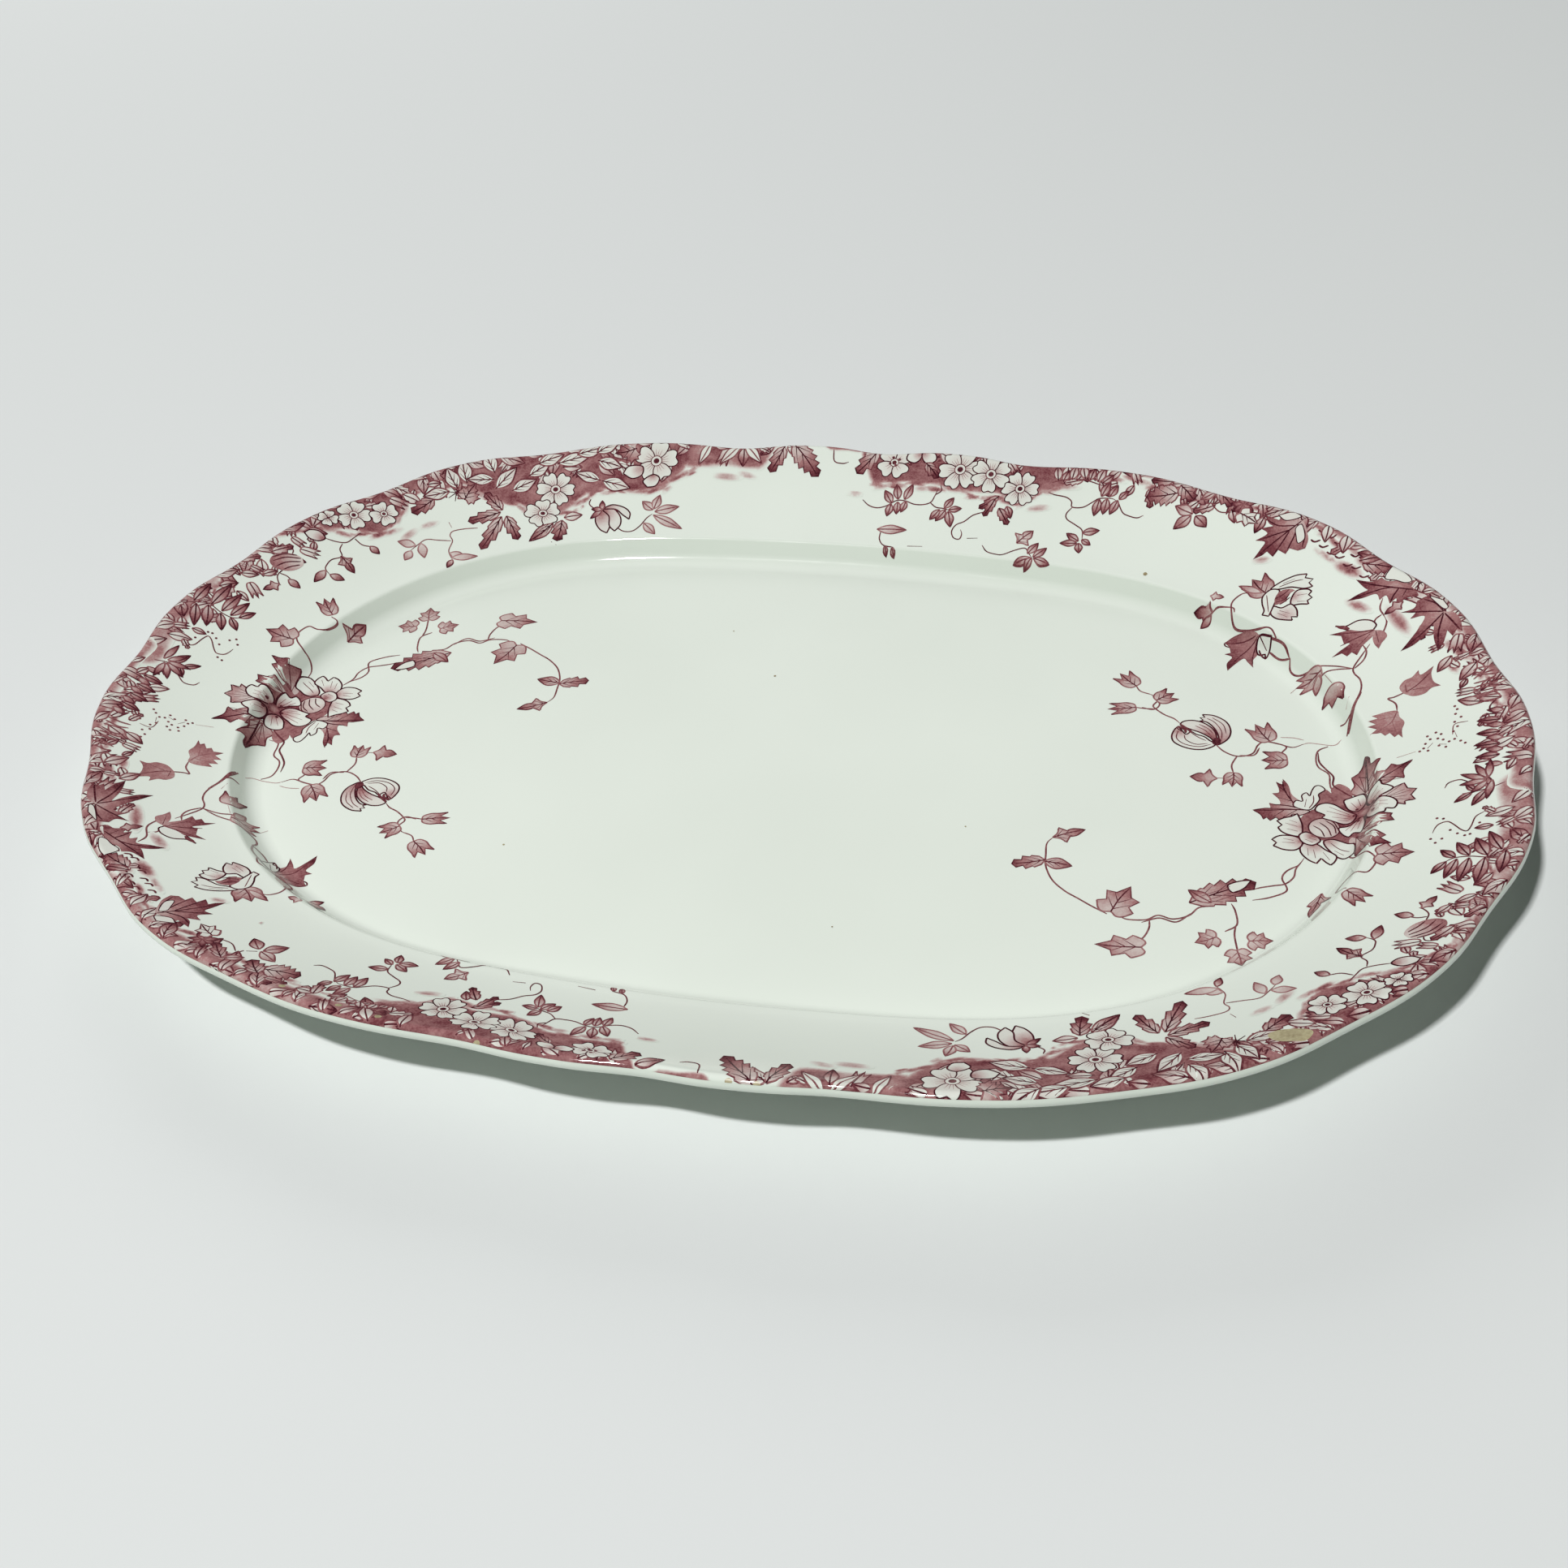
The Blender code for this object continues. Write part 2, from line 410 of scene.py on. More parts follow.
def leaf(sheet, kind, x, y, angle, along, across, tone=0.5, edge=0.0, vein=0.0, pale=0.5):
    """A leaf with its stalk at x, y. Its ink deepens from pale * tone at the stalk to tone at its tips."""
    points = placed(kind, x, y, angle, along, across)
    reach = max(along, 0.62 * across)
    deepest = min(1.0, 1.2 * tone)
    sheet.fill(points, from_point((x, y), reach, tone * pale * 0.55, deepest, 1.7))
    rim = max(edge, min(0.97, tone + 0.25))
    sheet.edge(points, 0.5 if edge < 0.9 else LINE, from_point((x, y), reach, 0.6 * rim, rim), FILL_STEP)
    if not vein:
        return
    spine = placed(((0, 0), (0.5, 0.04), (0.93, 0)), x, y, angle, along, across)
    sheet.stroke(spine, 0.46, min(1.0, vein + 0.15), (1.0, 0.4))
    if across > 4.0:
        for side in (1, -1):
            for start, end in (((0.12, 0), (0.42, 0.34 * side)), ((0.36, 0), (0.64, 0.26 * side))):
                rib = placed((start, end), x, y, angle, along, across)
                sheet.stroke(rib, 0.36, min(1.0, vein + 0.1), (1.0, 0.3))


PETAL = ((0.1, -0.08, 1), (0.4, -0.33), (0.8, -0.42), (1.0, -0.26), (0.92, 0.0, 1), (1.0, 0.26), (0.8, 0.42),
         (0.4, 0.33), (0.1, 0.08, 1))


def flower(sheet, x, y, radius, turn, petals, squash=1.0, eye=0.17, streaks=3):
    """An open flower from above, its petals lined and streaked, with a ringed eye."""
    across = radius * 5 / petals
    for petal in range(petals):
        angle = turn + 360 * petal / petals
        long = radius * (1 - (1 - squash) * abs(math.sin(math.radians(angle))))
        points = placed(PETAL, x, y, angle, long, across)
        sheet.fill(points, from_point((x, y), long, 0.25, 0.03, 0.7))
        sheet.edge(points, 0.38, DARK, 0.5)
        for streak in range(streaks):
            off = (streak - (streaks - 1) / 2) * 0.12
            line_points = placed(((0.24, off * 0.6), (0.58, off * 1.3)), x, y, angle, long, across)
            sheet.stroke(line_points, 0.2, 0.6, (1.0, 0.3))
    if eye:
        outer, inner = radius * eye * 1.5, radius * eye * 0.8
        rim = ring(x, y, outer, outer * squash)
        sheet.fill(rim, 0.08)
        sheet.stroke(rim, 0.3, 0.8, (1, 1), closed=True, step=0.4)
        sheet.fill(ring(x, y, inner, inner * squash), 0.9, step=0.4)


def dot(sheet, x, y, size, ink):
    """A small round spot."""
    corners = [(x + size * math.cos(a), y + size * math.sin(a)) for a in (0, 1.26, 2.5, 3.8, 5.0)]
    sheet.fill(corners, ink, step=0.4)


def smudge(sheet, x, y, angle, along, across, ink=0.4):
    """A soft-edged patch of ink that ran into the glaze."""
    points = placed(ring(0, 0, 1, 1, 10), x, y, angle, along, across)
    turn = math.radians(angle)

    def strength(p):
        u = ((p[:, 0] - x) * math.cos(turn) + (p[:, 1] - y) * math.sin(turn)) / along
        v = (-(p[:, 0] - x) * math.sin(turn) + (p[:, 1] - y) * math.cos(turn)) / across
        return ink * (1 - fade(np.hypot(u, v), 0.25, 1.0))
    sheet.fill(points, strength, cover=False, step=0.9)


def inside(points, polygon):
    """Which points lie inside a polygon."""
    ends = np.roll(polygon, -1, axis=0)
    x, y = points[:, 0, None], points[:, 1, None]
    crossing = (polygon[:, 1] > y) != (ends[:, 1] > y)
    rise = np.where(ends[:, 1] == polygon[:, 1], 1e-12, ends[:, 1] - polygon[:, 1])
    x_there = polygon[:, 0] + (y - polygon[:, 1]) / rise * (ends[:, 0] - polygon[:, 0])
    return (crossing & (x < x_there)).sum(axis=1) % 2 == 1


def distance_to_edge(points, polygon):
    """How far each point is from the nearest edge of a polygon."""
    span = np.roll(polygon, -1, axis=0) - polygon
    away = points[:, None, :] - polygon[None]
    t = np.clip((away * span).sum(-1) / np.maximum((span**2).sum(-1), 1e-12), 0, 1)
    return np.sqrt(((away - t[..., None] * span) ** 2).sum(-1)).min(1)


def ragged(sheet, run):
    """Short soft brush marks that break up the inner edge of a ground of ink."""
    path = smooth_run(run, step=2.6)
    for step, ((x, y), (next_x, next_y)) in enumerate(zip(path, path[1:])):
        heading = math.degrees(math.atan2(next_y - y, next_x - x)) + 14 * math.sin(1.9 * step)
        x, y = x + 0.8 * math.sin(3.9 * step), y + 0.9 * math.sin(5.3 * step)
        size = 1 + 0.4 * math.sin(2.7 * step)
        smudge(sheet, x, y, heading, 3.4 * size, 1.0 * size, 0.5 * (1 + 0.3 * math.sin(4.1 * step)))


def undergrowth(sheet, first, last, inset, spacing, size, tone, shift):
    """A row of small leaves along the lip, between two angles in degrees, each turned its own way."""
    angles = np.radians(np.linspace(first, last, 300))
    radius = plan_radius(angles, np.full(len(angles), inset * MM)) / MM
    lip = np.stack([radius * np.cos(angles), radius * np.sin(angles)], axis=1)
    run = np.r_[0.0, np.cumsum(np.hypot(*np.diff(lip, axis=0).T))]
    for step, along in enumerate(np.arange(spacing / 2, run[-1], spacing)):
        x, y = (float(np.interp(along, run, lip[:, axis])) for axis in (0, 1))
        wave = step + shift
        turn = math.degrees(math.atan2(-y, -x)) + 62 * math.sin(2.4 * wave)
        long = size * (1 + 0.28 * math.sin(1.7 * wave))
        depth = min(0.95, tone * (1 + 0.45 * math.sin(3.7 * wave)))
        kind = (LENS, TULIP, LENS, SAW3)[step % 4]
        leaf(sheet, kind, x, y, turn, long, 0.5 * long, depth, 0.88, 0.75, 0.3)


def wash(sheet, points, ink, feather, mottle):
    """A ground of ink with a soft edge, uneven as a transfer print is."""
    core = outline(points, 2.6)

    def strength(p):
        edge = np.where(inside(p, core), fade(distance_to_edge(p, core), 0.0, feather), 0.0)
        x, y = p.T
        uneven = np.sin(0.37 * x + 1.3 * np.sin(0.23 * y)) * np.sin(0.41 * y - 0.19 * x)
        return ink * edge * (1 + mottle * uneven)
    sheet.add([core], strength, cover=False)


VINE = 0.68


def leaf_to(sheet, kind, base, tip, wide, tone=0.5, edge=0.0, vein=0.0, pale=0.5):
    """A leaf from its stalk to its tip."""
    along = math.hypot(tip[0] - base[0], tip[1] - base[1])
    angle = math.degrees(math.atan2(tip[1] - base[1], tip[0] - base[0]))
    leaf(sheet, kind, base[0], base[1], angle, along, wide, tone, edge, vein, pale)


def leaves(sheet, rows):
    """Leaves, each given by kind, stalk, tip, width, tone, edge, vein and how dark its stalk's end is."""
    for row in rows:
        leaf_to(sheet, *row)


def petal(sheet, points, fill=0.04, line=0.5, blush=None):
    """An outlined petal. A blush is x, y, reach and strength of a deeper patch."""
    if blush:
        x, y, reach, deep = blush
        sheet.fill(points, from_point((x, y), reach, deep, fill, 0.8))
    else:
        sheet.fill(points, fill)
    sheet.edge(points, line, DARK, 0.5)


def lines(sheet, runs, width, ink):
    """Several strokes of one width and ink."""
    for run in runs:
        sheet.stroke(run, width, ink, (0.6, 0.4))


# ---------------------------------------------------------------- the spray, as it lies on the right
def spray_vines(sheet):
    lines(sheet, [[(100, 41), (103.5, 40.5), (105, 43), (103.8, 46)],
        [(102, 47.6), (104.3, 45.5), (103.2, 42.5), (104, 41), (107, 38.5), (110, 37), (112, 35)],
        [(123, 27), (126, 23.8), (130, 22.2), (134, 24), (135.2, 28), (137, 30), (141, 29.5), (145, 28.5),
        (148, 30.4)], [(130.5, 22.6), (134.5, 23.4), (135.8, 27)],
        [(138.5, 30.2), (143.2, 28.6), (142.3, 25.6), (143, 23.4)],
        [(129.8, 22.2), (128.7, 18), (129.5, 14.5)], [(124, 11.5), (127.3, 11.8)],
        [(155, 30.3), (152.4, 28), (152, 24), (153, 20.5), (156, 17.8), (156.6, 13.5), (157.5, 11.2),
        (160.5, 10.8)], [(160, 33.5), (160.6, 40), (162.6, 47.5), (162.2, 52), (160.3, 55), (160, 57.5),
        (162, 62), (164, 66)], [(160.4, 34), (161.4, 42), (162.9, 47)],
        [(160.3, 57), (162.6, 60), (163.2, 63.2), (162, 66)],
        [(141.2, 66), (141.8, 62.5), (144.3, 60.2), (150, 59.2), (155, 58.6), (160, 57)],
        [(150.5, 56), (155, 57.2), (160, 57)], [(157.8, 38.2), (159.2, 38.2), (160.6, 40)],
        [(136.5, 72.5), (134.3, 76), (131, 76.8), (127, 78), (123.4, 80), (121.9, 84), (121.9, 87.5),
        (124.5, 90.5), (127.5, 90.6)], [(130, 76), (135, 73.2), (139, 70), (141.2, 65.8)],
        [(135, 70.2), (138, 67.3), (141.3, 65.8)], [(122.9, 83.2), (122.4, 84.8), (120, 85.3),
        (117.5, 85.7), (115.8, 85)], [(167, 68), (168.2, 74), (166, 79), (166.5, 83)],
        [(164.8, 71.5), (164.8, 75), (166.6, 76.8)], [(175, 44.6), (172, 43.2), (170.4, 42.9),
        (172.6, 40.5), (173.2, 37.3)]], 0.52, VINE)
    lines(sheet, [[(141.3, 32.6), (145, 32.9), (148, 32.3)],
        [(148, 30.4), (150, 31.2), (156.5, 31), (158.5, 33)], [(152, 55.8), (154.3, 52.3)],
        [(159.5, 45.5), (159, 42)], [(174, 17.8), (179, 19.4)], [(142.5, 53.8), (144, 56)]], 0.3, 0.4)


def spray_leaves(sheet):
    leaves(sheet, (
        (TULIP, (97, 51.2), (91.4, 56.6), 6.2, 0.55, 0, 0.7, 0.75),
        (TULIP, (98.2, 40.8), (90.2, 38.8), 5.2, 0.6, 0, 0.7, 0.75)))
    lines(sheet, [[(97, 51.2), (98.6, 48.8), (102, 47.6)], [(98.2, 40.8), (101, 40.6), (103.5, 40.9)]],
        0.46, VINE)
    leaves(sheet, (
        (TULIP, (103.8, 45), (108.6, 49.2), 6.2, 0.58, 0, 0.7, 0.7),
        (TULIP, (138.4, 30.4), (133.6, 37.6), 7.2, 0.56, 0, 0.75, 0.8),
        (TULIP, (144, 22.6), (136.9, 21.4), 7.6, 0.6, 0, 0.7, 0.75),
        (TULIP, (129.6, 14.6), (129.7, 8.4), 5.4, 0.5, 0, 0.7, 0.9),
        (TREFOIL, (125.2, 11.4), (117.6, 11.2), 8, 0.62, 0, 0, 0.85),
        (TULIP, (150.8, 57.8), (144, 56), 5.6, 0.45, 0, 0.6, 0.9),
        (LENS, (150.2, 57), (150, 51.8), 2.2, 0.5, 0, 0, 0.8),
        (TULIP, (155.3, 51.8), (155, 45.5), 5.6, 0.62, 0, 0, 0.7)))
    sheet.fill([(131.6, 73.6), (130.6, 76.2), (127, 77.9), (123.4, 77.9), (120.8, 76.2, 1), (122.4, 74.4),
        (123.2, 71.6, 1), (121.4, 70.6, 1), (123.8, 69.4), (122.6, 66), (123.1, 62.4, 1), (125.2, 66.2),
        (127.4, 69.2), (128.6, 67.6), (130.6, 65, 1), (130.2, 68.6), (131.6, 71)],
        from_point((131, 75), 14, 0.42, 0.88, 1.1))
    lines(sheet, [[(130.8, 75.4), (126.4, 70.6), (123.6, 64.4)], [(130.8, 75), (130, 70), (130.3, 66.4)],
        [(130.2, 75.8), (125.6, 75.6), (121.8, 76)]], 0.4, 0.85)
    lines(sheet, [[(122.3, 70.5), (123.6, 70.3)], [(120.8, 76), (121.3, 74.8), (122.6, 74.2)]], 0.5, 0.9)
    petal(sheet, [(131.5, 75.3), (135, 73.6, 1), (134.9, 70.8), (134, 68.6, 1), (133.6, 70.2, 1),
        (131.6, 70.6), (130.8, 73)], 0.04)
    lines(sheet, [[(131.6, 72), (132.6, 70), (134, 68.6)], [(131.3, 75.5), (134, 71)]], 0.5, 0.9)
    leaves(sheet, (
        (TREFOIL, (116.2, 85.2), (110.4, 86.8), 4.6, 0.8, 0, 0, 0.7),
        (LENS, (115.8, 84.8), (113, 82.2), 2.4, 0.7, 0, 0, 0.7),
        (TREFOIL, (114.8, 90), (119, 89.4), 3.8, 0.5, 0.5, 0, 0.6),
        (TULIP, (132, 89.9), (127, 95.8), 8.4, 0.56, 0, 0.7, 0.9),
        (LENS, (130.5, 90.5), (123.2, 93.6), 2.2, 0.5, 0, 0, 0.7)))
    # the ivy leaf below the border, half in outline
    petal(sheet, [(153.5, 74.8, 1), (156.5, 74.2), (160, 75.8), (163.5, 75.2), (165.3, 73.2),
        (164.6, 71.4, 1), (160, 71.2)], 0.05)
    sheet.fill([(165, 71.4), (161, 71.6), (158, 72.6, 1), (152, 71.6, 1), (155.5, 70.6, 1),
        (156.5, 67.4, 1), (158.2, 67.2), (155.5, 64.6, 1), (153.4, 62.3, 1), (156.2, 63.6, 1),
        (157.8, 62.2, 1), (159, 63.6, 1), (160.6, 62.2, 1), (161.8, 65.4), (163, 67), (164.6, 69)],
        from_point((164.5, 70.5), 12, 0.45, 0.85, 1.3))
    sheet.fill([(153.5, 74.8, 1), (155, 73.4), (157.8, 72.8), (156.5, 74.4)], 0.75)
    sheet.fill([(165, 71.2, 1), (167.4, 70.4), (168.7, 68.2), (167.4, 65.8), (166.6, 63.6, 1),
        (165.2, 65.8), (164.6, 68.4)], from_point((165, 71), 8, 0.4, 0.62))
    lines(sheet, [[(164.6, 71), (159.5, 68.8), (155.5, 66.6)], [(163.8, 70), (160.5, 65.6)],
        [(164.9, 71.2), (158.5, 71.3), (153, 71.7)], [(165.3, 70.8), (166.5, 66)]], 0.4, 0.85)
    # the round leaf and the saw-toothed one that hangs below it
    sheet.fill([(174.2, 44.6), (173.3, 47), (174.6, 49.4), (176.5, 50.2), (178.2, 52.6, 1), (179, 50.6),
        (182.3, 53.2, 1), (181.8, 50.4), (182.6, 47), (184.6, 44.9, 1), (182.2, 44.6), (180.4, 42.8),
        (177.6, 42.4), (175.6, 43.4)], from_point((176, 46), 8, 0.4, 0.6))
    lines(sheet, [[(175.3, 44.6), (178, 46.6), (181.5, 50.8)], [(175.3, 44.5), (174.9, 47.5)],
        [(177, 45.2), (181.6, 45)]], 0.4, 0.75)
    sheet.fill([(173.3, 37.4), (170.5, 37.6), (166.3, 36.4, 1), (168, 35.2, 1), (165.4, 34.2, 1),
        (167.6, 32.8, 1), (165.4, 31.8, 1), (168, 30.6, 1), (166.2, 28.4, 1), (169.2, 29, 1),
        (170.4, 27.6, 1), (171.6, 28.6, 1), (173, 26.6, 1), (174, 27.6, 1), (175.2, 26, 1), (174.9, 29.4),
        (175.4, 32.4), (173.9, 35)], from_point((172.5, 35), 9, 0.36, 0.66))
    lines(sheet, [[(173.2, 37.2), (171.8, 33), (168, 29.2)], [(172.5, 35), (167.5, 34.6)],
        [(172, 33.2), (173.6, 28)]], 0.36, 0.62)


def globe_flower(sheet):
    petal(sheet, [(123.8, 26.6), (126.4, 29.6), (126.9, 33.6), (125.2, 37.6), (121.5, 40), (118, 40.1, 1),
        (118.8, 38.9, 1), (117.5, 38.5, 1), (118.5, 37.5, 1), (117.6, 36.9, 1), (119.8, 36.6),
        (122.3, 33.8), (123.8, 30)], 0.12, 0.52, (123.6, 27, 10, 0.6))
    lines(sheet, [[(119.5, 38.5), (122, 36.8), (124.3, 33), (124.7, 29)],
        [(121, 39), (124.4, 36.2), (125.8, 32)]], 0.3, 0.8)
    petal(sheet, [(112.2, 34.6), (113.4, 36.4), (116.5, 36.9), (120, 35.4), (122.6, 32.2), (123.4, 27.2),
        (121.3, 29.6), (118.2, 31.6), (114.6, 33)], 0.1, 0.52, (121.8, 30, 7, 0.66))
    lines(sheet, [[(116.5, 34.5), (119.5, 32.8), (121.8, 30)],
        [(117.5, 35.4), (120.4, 33.6), (122.3, 31)]], 0.3, 0.7)
    petal(sheet, [(111.6, 33.2), (110.3, 29.8), (110.9, 26.6), (113.4, 24.6), (117, 23.6), (120.6, 24.2),
        (123.2, 26.6), (121.4, 28.2), (119.6, 29.8), (117.2, 30.6), (115.6, 31.6), (114.2, 30.2)], 0.06,
        0.52, (112, 31, 4, 0.5))
    lines(sheet, [[(111.8, 31.4), (111.8, 28), (114.4, 25.6), (118.6, 25), (122, 26.6)],
        [(113.8, 29.8), (114.6, 27.6), (117.6, 26), (121, 26.8)],
        [(115.6, 31.2), (117.8, 29.4), (120.4, 28)]], 0.34, 0.85)
    lines(sheet, [[(111.4, 33.6), (113.6, 32.4), (114.2, 30.8)], [(111, 33), (113, 31.2)],
        [(112, 34.6), (114.8, 32.4), (116, 31)]], 0.9, 0.82)
    sheet.fill([(122, 28.4), (123.2, 30), (124.6, 29), (124.2, 26.6), (122.6, 26.6)], 0.9)


def open_flower(sheet):
    petal(sheet, [(133, 91.6), (136, 94.2), (140, 96), (143.4, 96.2, 1), (143, 94.8, 1), (145.4, 94, 1),
        (144.3, 92.8, 1), (145.5, 91.2, 1), (143, 90.8), (139, 91.8), (136, 91.4)], 0.04)
    lines(sheet, [[(135.5, 92.2), (139.5, 93.8), (142.5, 94.2)], [(136.5, 93.4), (140, 94.8)]], 0.32, 0.85)
    petal(sheet, [(139.8, 84.9), (139.6, 87.5), (141, 90.2), (144, 90.4), (145.4, 89.4, 1),
        (144.6, 88.2, 1), (145.7, 87, 1), (144.4, 86, 1), (144.9, 84.6, 1), (142.4, 84.9)], 0.05, 0.52,
        (140, 88, 3, 0.5))
    petal(sheet, [(134.4, 84.8), (133.9, 82), (135.6, 80), (138, 79.2), (140.6, 78.8, 1), (140.2, 80.2, 1),
        (142, 80, 1), (141.5, 83), (139.6, 85.2), (137, 84)], 0.06, 0.52, (138.5, 80.8, 4, 0.4))
    petal(sheet, [(133, 91.4), (130.9, 89), (131, 86), (131.8, 83.4), (131.4, 81.6, 1), (133.4, 81, 1),
        (134.2, 84), (134.8, 86.4), (135.4, 89), (135.6, 91)], 0.04)
    lines(sheet, [[(132, 89.4), (132.6, 86), (133.2, 82.6)], [(136.4, 83), (139.6, 81.6)],
        [(136, 82), (139, 80.2)], [(141.4, 86), (144, 85.8)], [(141.2, 88.4), (144.2, 88.6)]], 0.3, 0.75)
    sheet.fill([(134.8, 85.2, 1), (134.6, 88), (136, 90.6), (138.8, 91.2), (140.4, 90.4, 1), (138.6, 89),
        (138.2, 86.4, 1), (136.6, 85.8)], from_point((136.4, 88), 3.4, 0.75, 0.5))
    lines(sheet, [[(135, 86.4), (137.6, 87.2), (139, 89.6)], [(134.8, 87.8), (137, 89.2), (138.6, 91)],
        [(136.2, 85.4), (137.4, 86.2), (139.2, 88)]], 0.36, 0.9)


def dotted_tail(sheet):
    for x, y in (
            (180, 19.2), (181, 20.2), (182.2, 19), (181.4, 22), (182.6, 23.6), (181.8, 25), (184, 26),
            (185.4, 25), (184.6, 23.4), (186, 22.6), (185, 20.4), (187.6, 21.4), (186.8, 19.4), (189, 22),
            (190.6, 20.8), (191.8, 19.6), (188.6, 25.2), (189.6, 27), (188.8, 29), (190.4, 30.6),
            (188.9, 32.2), (189.3, 34), (188.6, 35.4)):
        dot(sheet, x, y, 0.42, 0.72)
    lines(sheet, [[(188.4, 24), (188.8, 28), (192.3, 28.3)], [(182, 20), (183.4, 22)],
        [(185, 21), (187, 20.4)], [(189.6, 22.6), (189, 24.8)]], 0.3, 0.7)


def bloom(sheet):
    def piece(points, centre, reach, near, far):
        sheet.fill(points, from_point(centre, reach, 0.55 * near, far, 1.3))
        sheet.edge(points, 0.46, from_point(centre, reach, 0.55, 0.95), 0.6)
        for x, y in (point[:2] for point in points if len(point) == 3):
            rib = [centre, (0.12 * centre[0] + 0.88 * x, 0.12 * centre[1] + 0.88 * y)]
            sheet.stroke(rib, 0.36, 0.8, (0.6, 0.4))

    # leaves behind the petals
    piece([(164, -9), (166.4, -11.6, 1), (168.4, -11.4), (172.5, -14.8, 1), (171.2, -16, 1),
        (174, -18.6, 1), (171.2, -18.4), (168.7, -19.4, 1), (168.2, -17.2, 1), (165.3, -19.2, 1),
        (164.6, -15), (163, -11)], (165, -9.5), 11, 0.45, 0.78)
    piece([(166, -8.4), (169.8, -10.6, 1), (171.4, -8.8, 1), (174.5, -8.6, 1), (173.4, -6.8, 1),
        (173.8, -5.6, 1), (171, -5.2), (168, -5.8)], (166.5, -7.4), 8, 0.4, 0.8)
    piece([(171, -1.4), (174.6, -1.4, 1), (177.2, -2.4, 1), (177, -1), (179.6, -0.8, 1), (178.4, 1.4, 1),
        (179.8, 3.8, 1), (177.4, 4.4, 1), (176.4, 6.8, 1), (173.6, 5.2), (171, 4.6)], (171, 1), 8, 0.25,
        0.45)
    piece([(168.6, 7.6), (171.6, 7.4), (174.2, 9.8, 1), (176.4, 9, 1), (176, 12.4), (178.2, 16.2, 1),
        (174.8, 14.6), (172.8, 15.4, 1), (171.6, 13.2, 1), (169, 13.4, 1), (168.2, 11)], (169, 8.4), 11,
        0.5, 0.92)
    lines(sheet, [[(168.8, 8.6), (173, 12), (177, 15.4)], [(170.6, 9.8), (174.6, 10)]], 0.4, 0.95)
    piece([(166.8, 7.4), (168.8, 11, 1), (168.2, 14), (169.6, 18.2, 1), (167.2, 17.8), (166.6, 20.4),
        (165.6, 22, 1), (165.2, 19.2), (164.2, 17.4, 1), (162.4, 16.4, 1), (163.4, 13), (162.6, 10)],
        (166.6, 8), 14, 0.45, 0.85)
    lines(sheet, [[(167.3, 8), (166.6, 14), (165.8, 21)], [(167, 12), (169, 16.4)],
        [(166.6, 14), (164.2, 16)]], 0.4, 0.95)
    # the big toothed leaf, its upper side lined once more
    upper_side = [(151.6, 1.2), (149, -1.4), (147.4, -0.9), (146.6, -2.9, 1), (145.2, -2.3),
        (144.6, -4.4, 1), (142.9, -3, 1), (141.4, -4.6, 1), (140.4, -3.4), (139.6, -4.3, 1), (138.6, -2.4),
        (136.4, -0.8, 1), (139, 0.2), (141, 0.6)]
    under_side = [(140.5, 2.9, 1), (143.4, 2.6), (143.2, 4.6), (141, 7.2, 1), (142.8, 7.8),
        (142.6, 9.8, 1), (141.6, 12.4, 1), (143.6, 11.6), (143.4, 14, 1), (145.2, 11.4), (146.4, 7.6),
        (148.6, 5.4), (151.2, 4)]
    sheet.fill(upper_side + under_side, from_point((151, 1.6), 14, 0.22, 0.85, 1.4))
    lines(sheet, [[(151.4, 1.4), (146, 0.8), (141, -0.2), (137, -0.8)],
        [(151.2, 2), (148, 3.2), (146, 5.8), (144.2, 9.4), (143.4, 13)], [(148.4, 1), (145.6, -2)],
        [(145, 0.6), (142, -3.2)], [(146.6, 4.6), (142.8, 5.6)], [(145, 8.2), (142.4, 10.4)],
        [(150.6, 1.4), (146, 2.4), (141.6, 2.4)]], 0.44, 0.97)
    sheet.edge(upper_side, 0.34, 0.9)
    # the blush and the white fingers below the ball
    sheet.fill([(163, 7.6), (160, 4.6), (156, 5), (152, 3), (152.6, 8), (155.4, 11), (157.2, 9.6),
        (157, 11.4), (159, 14), (162, 12.2)], from_point((157, 8), 7, 0.62, 0.5))
    petal(sheet, [(153.8, 8.6), (154.2, 6.4), (153.2, 3.8), (151.8, 1.6), (149.2, 1.6), (147.2, 2.8),
        (147.8, 5), (149.6, 5), (149.2, 7.4), (150.4, 8.8), (151.4, 7.6), (151.8, 9.8), (152.6, 12),
        (154, 12.4), (155.4, 10.8)], 0.03, 0.42)
    lines(sheet, [[(151.6, 2.2), (152.6, 5), (152.4, 8)], [(150.4, 2.6), (150.6, 6)],
        [(147.4, 3), (146.2, 6), (145.6, 8.6)]], 0.34, 0.8)
    lines(sheet, [[(163, 8.5), (160, 11), (157.5, 13.2), (157.3, 17), (155, 20), (153, 23), (152.4, 27)]],
        0.6, 0.8)
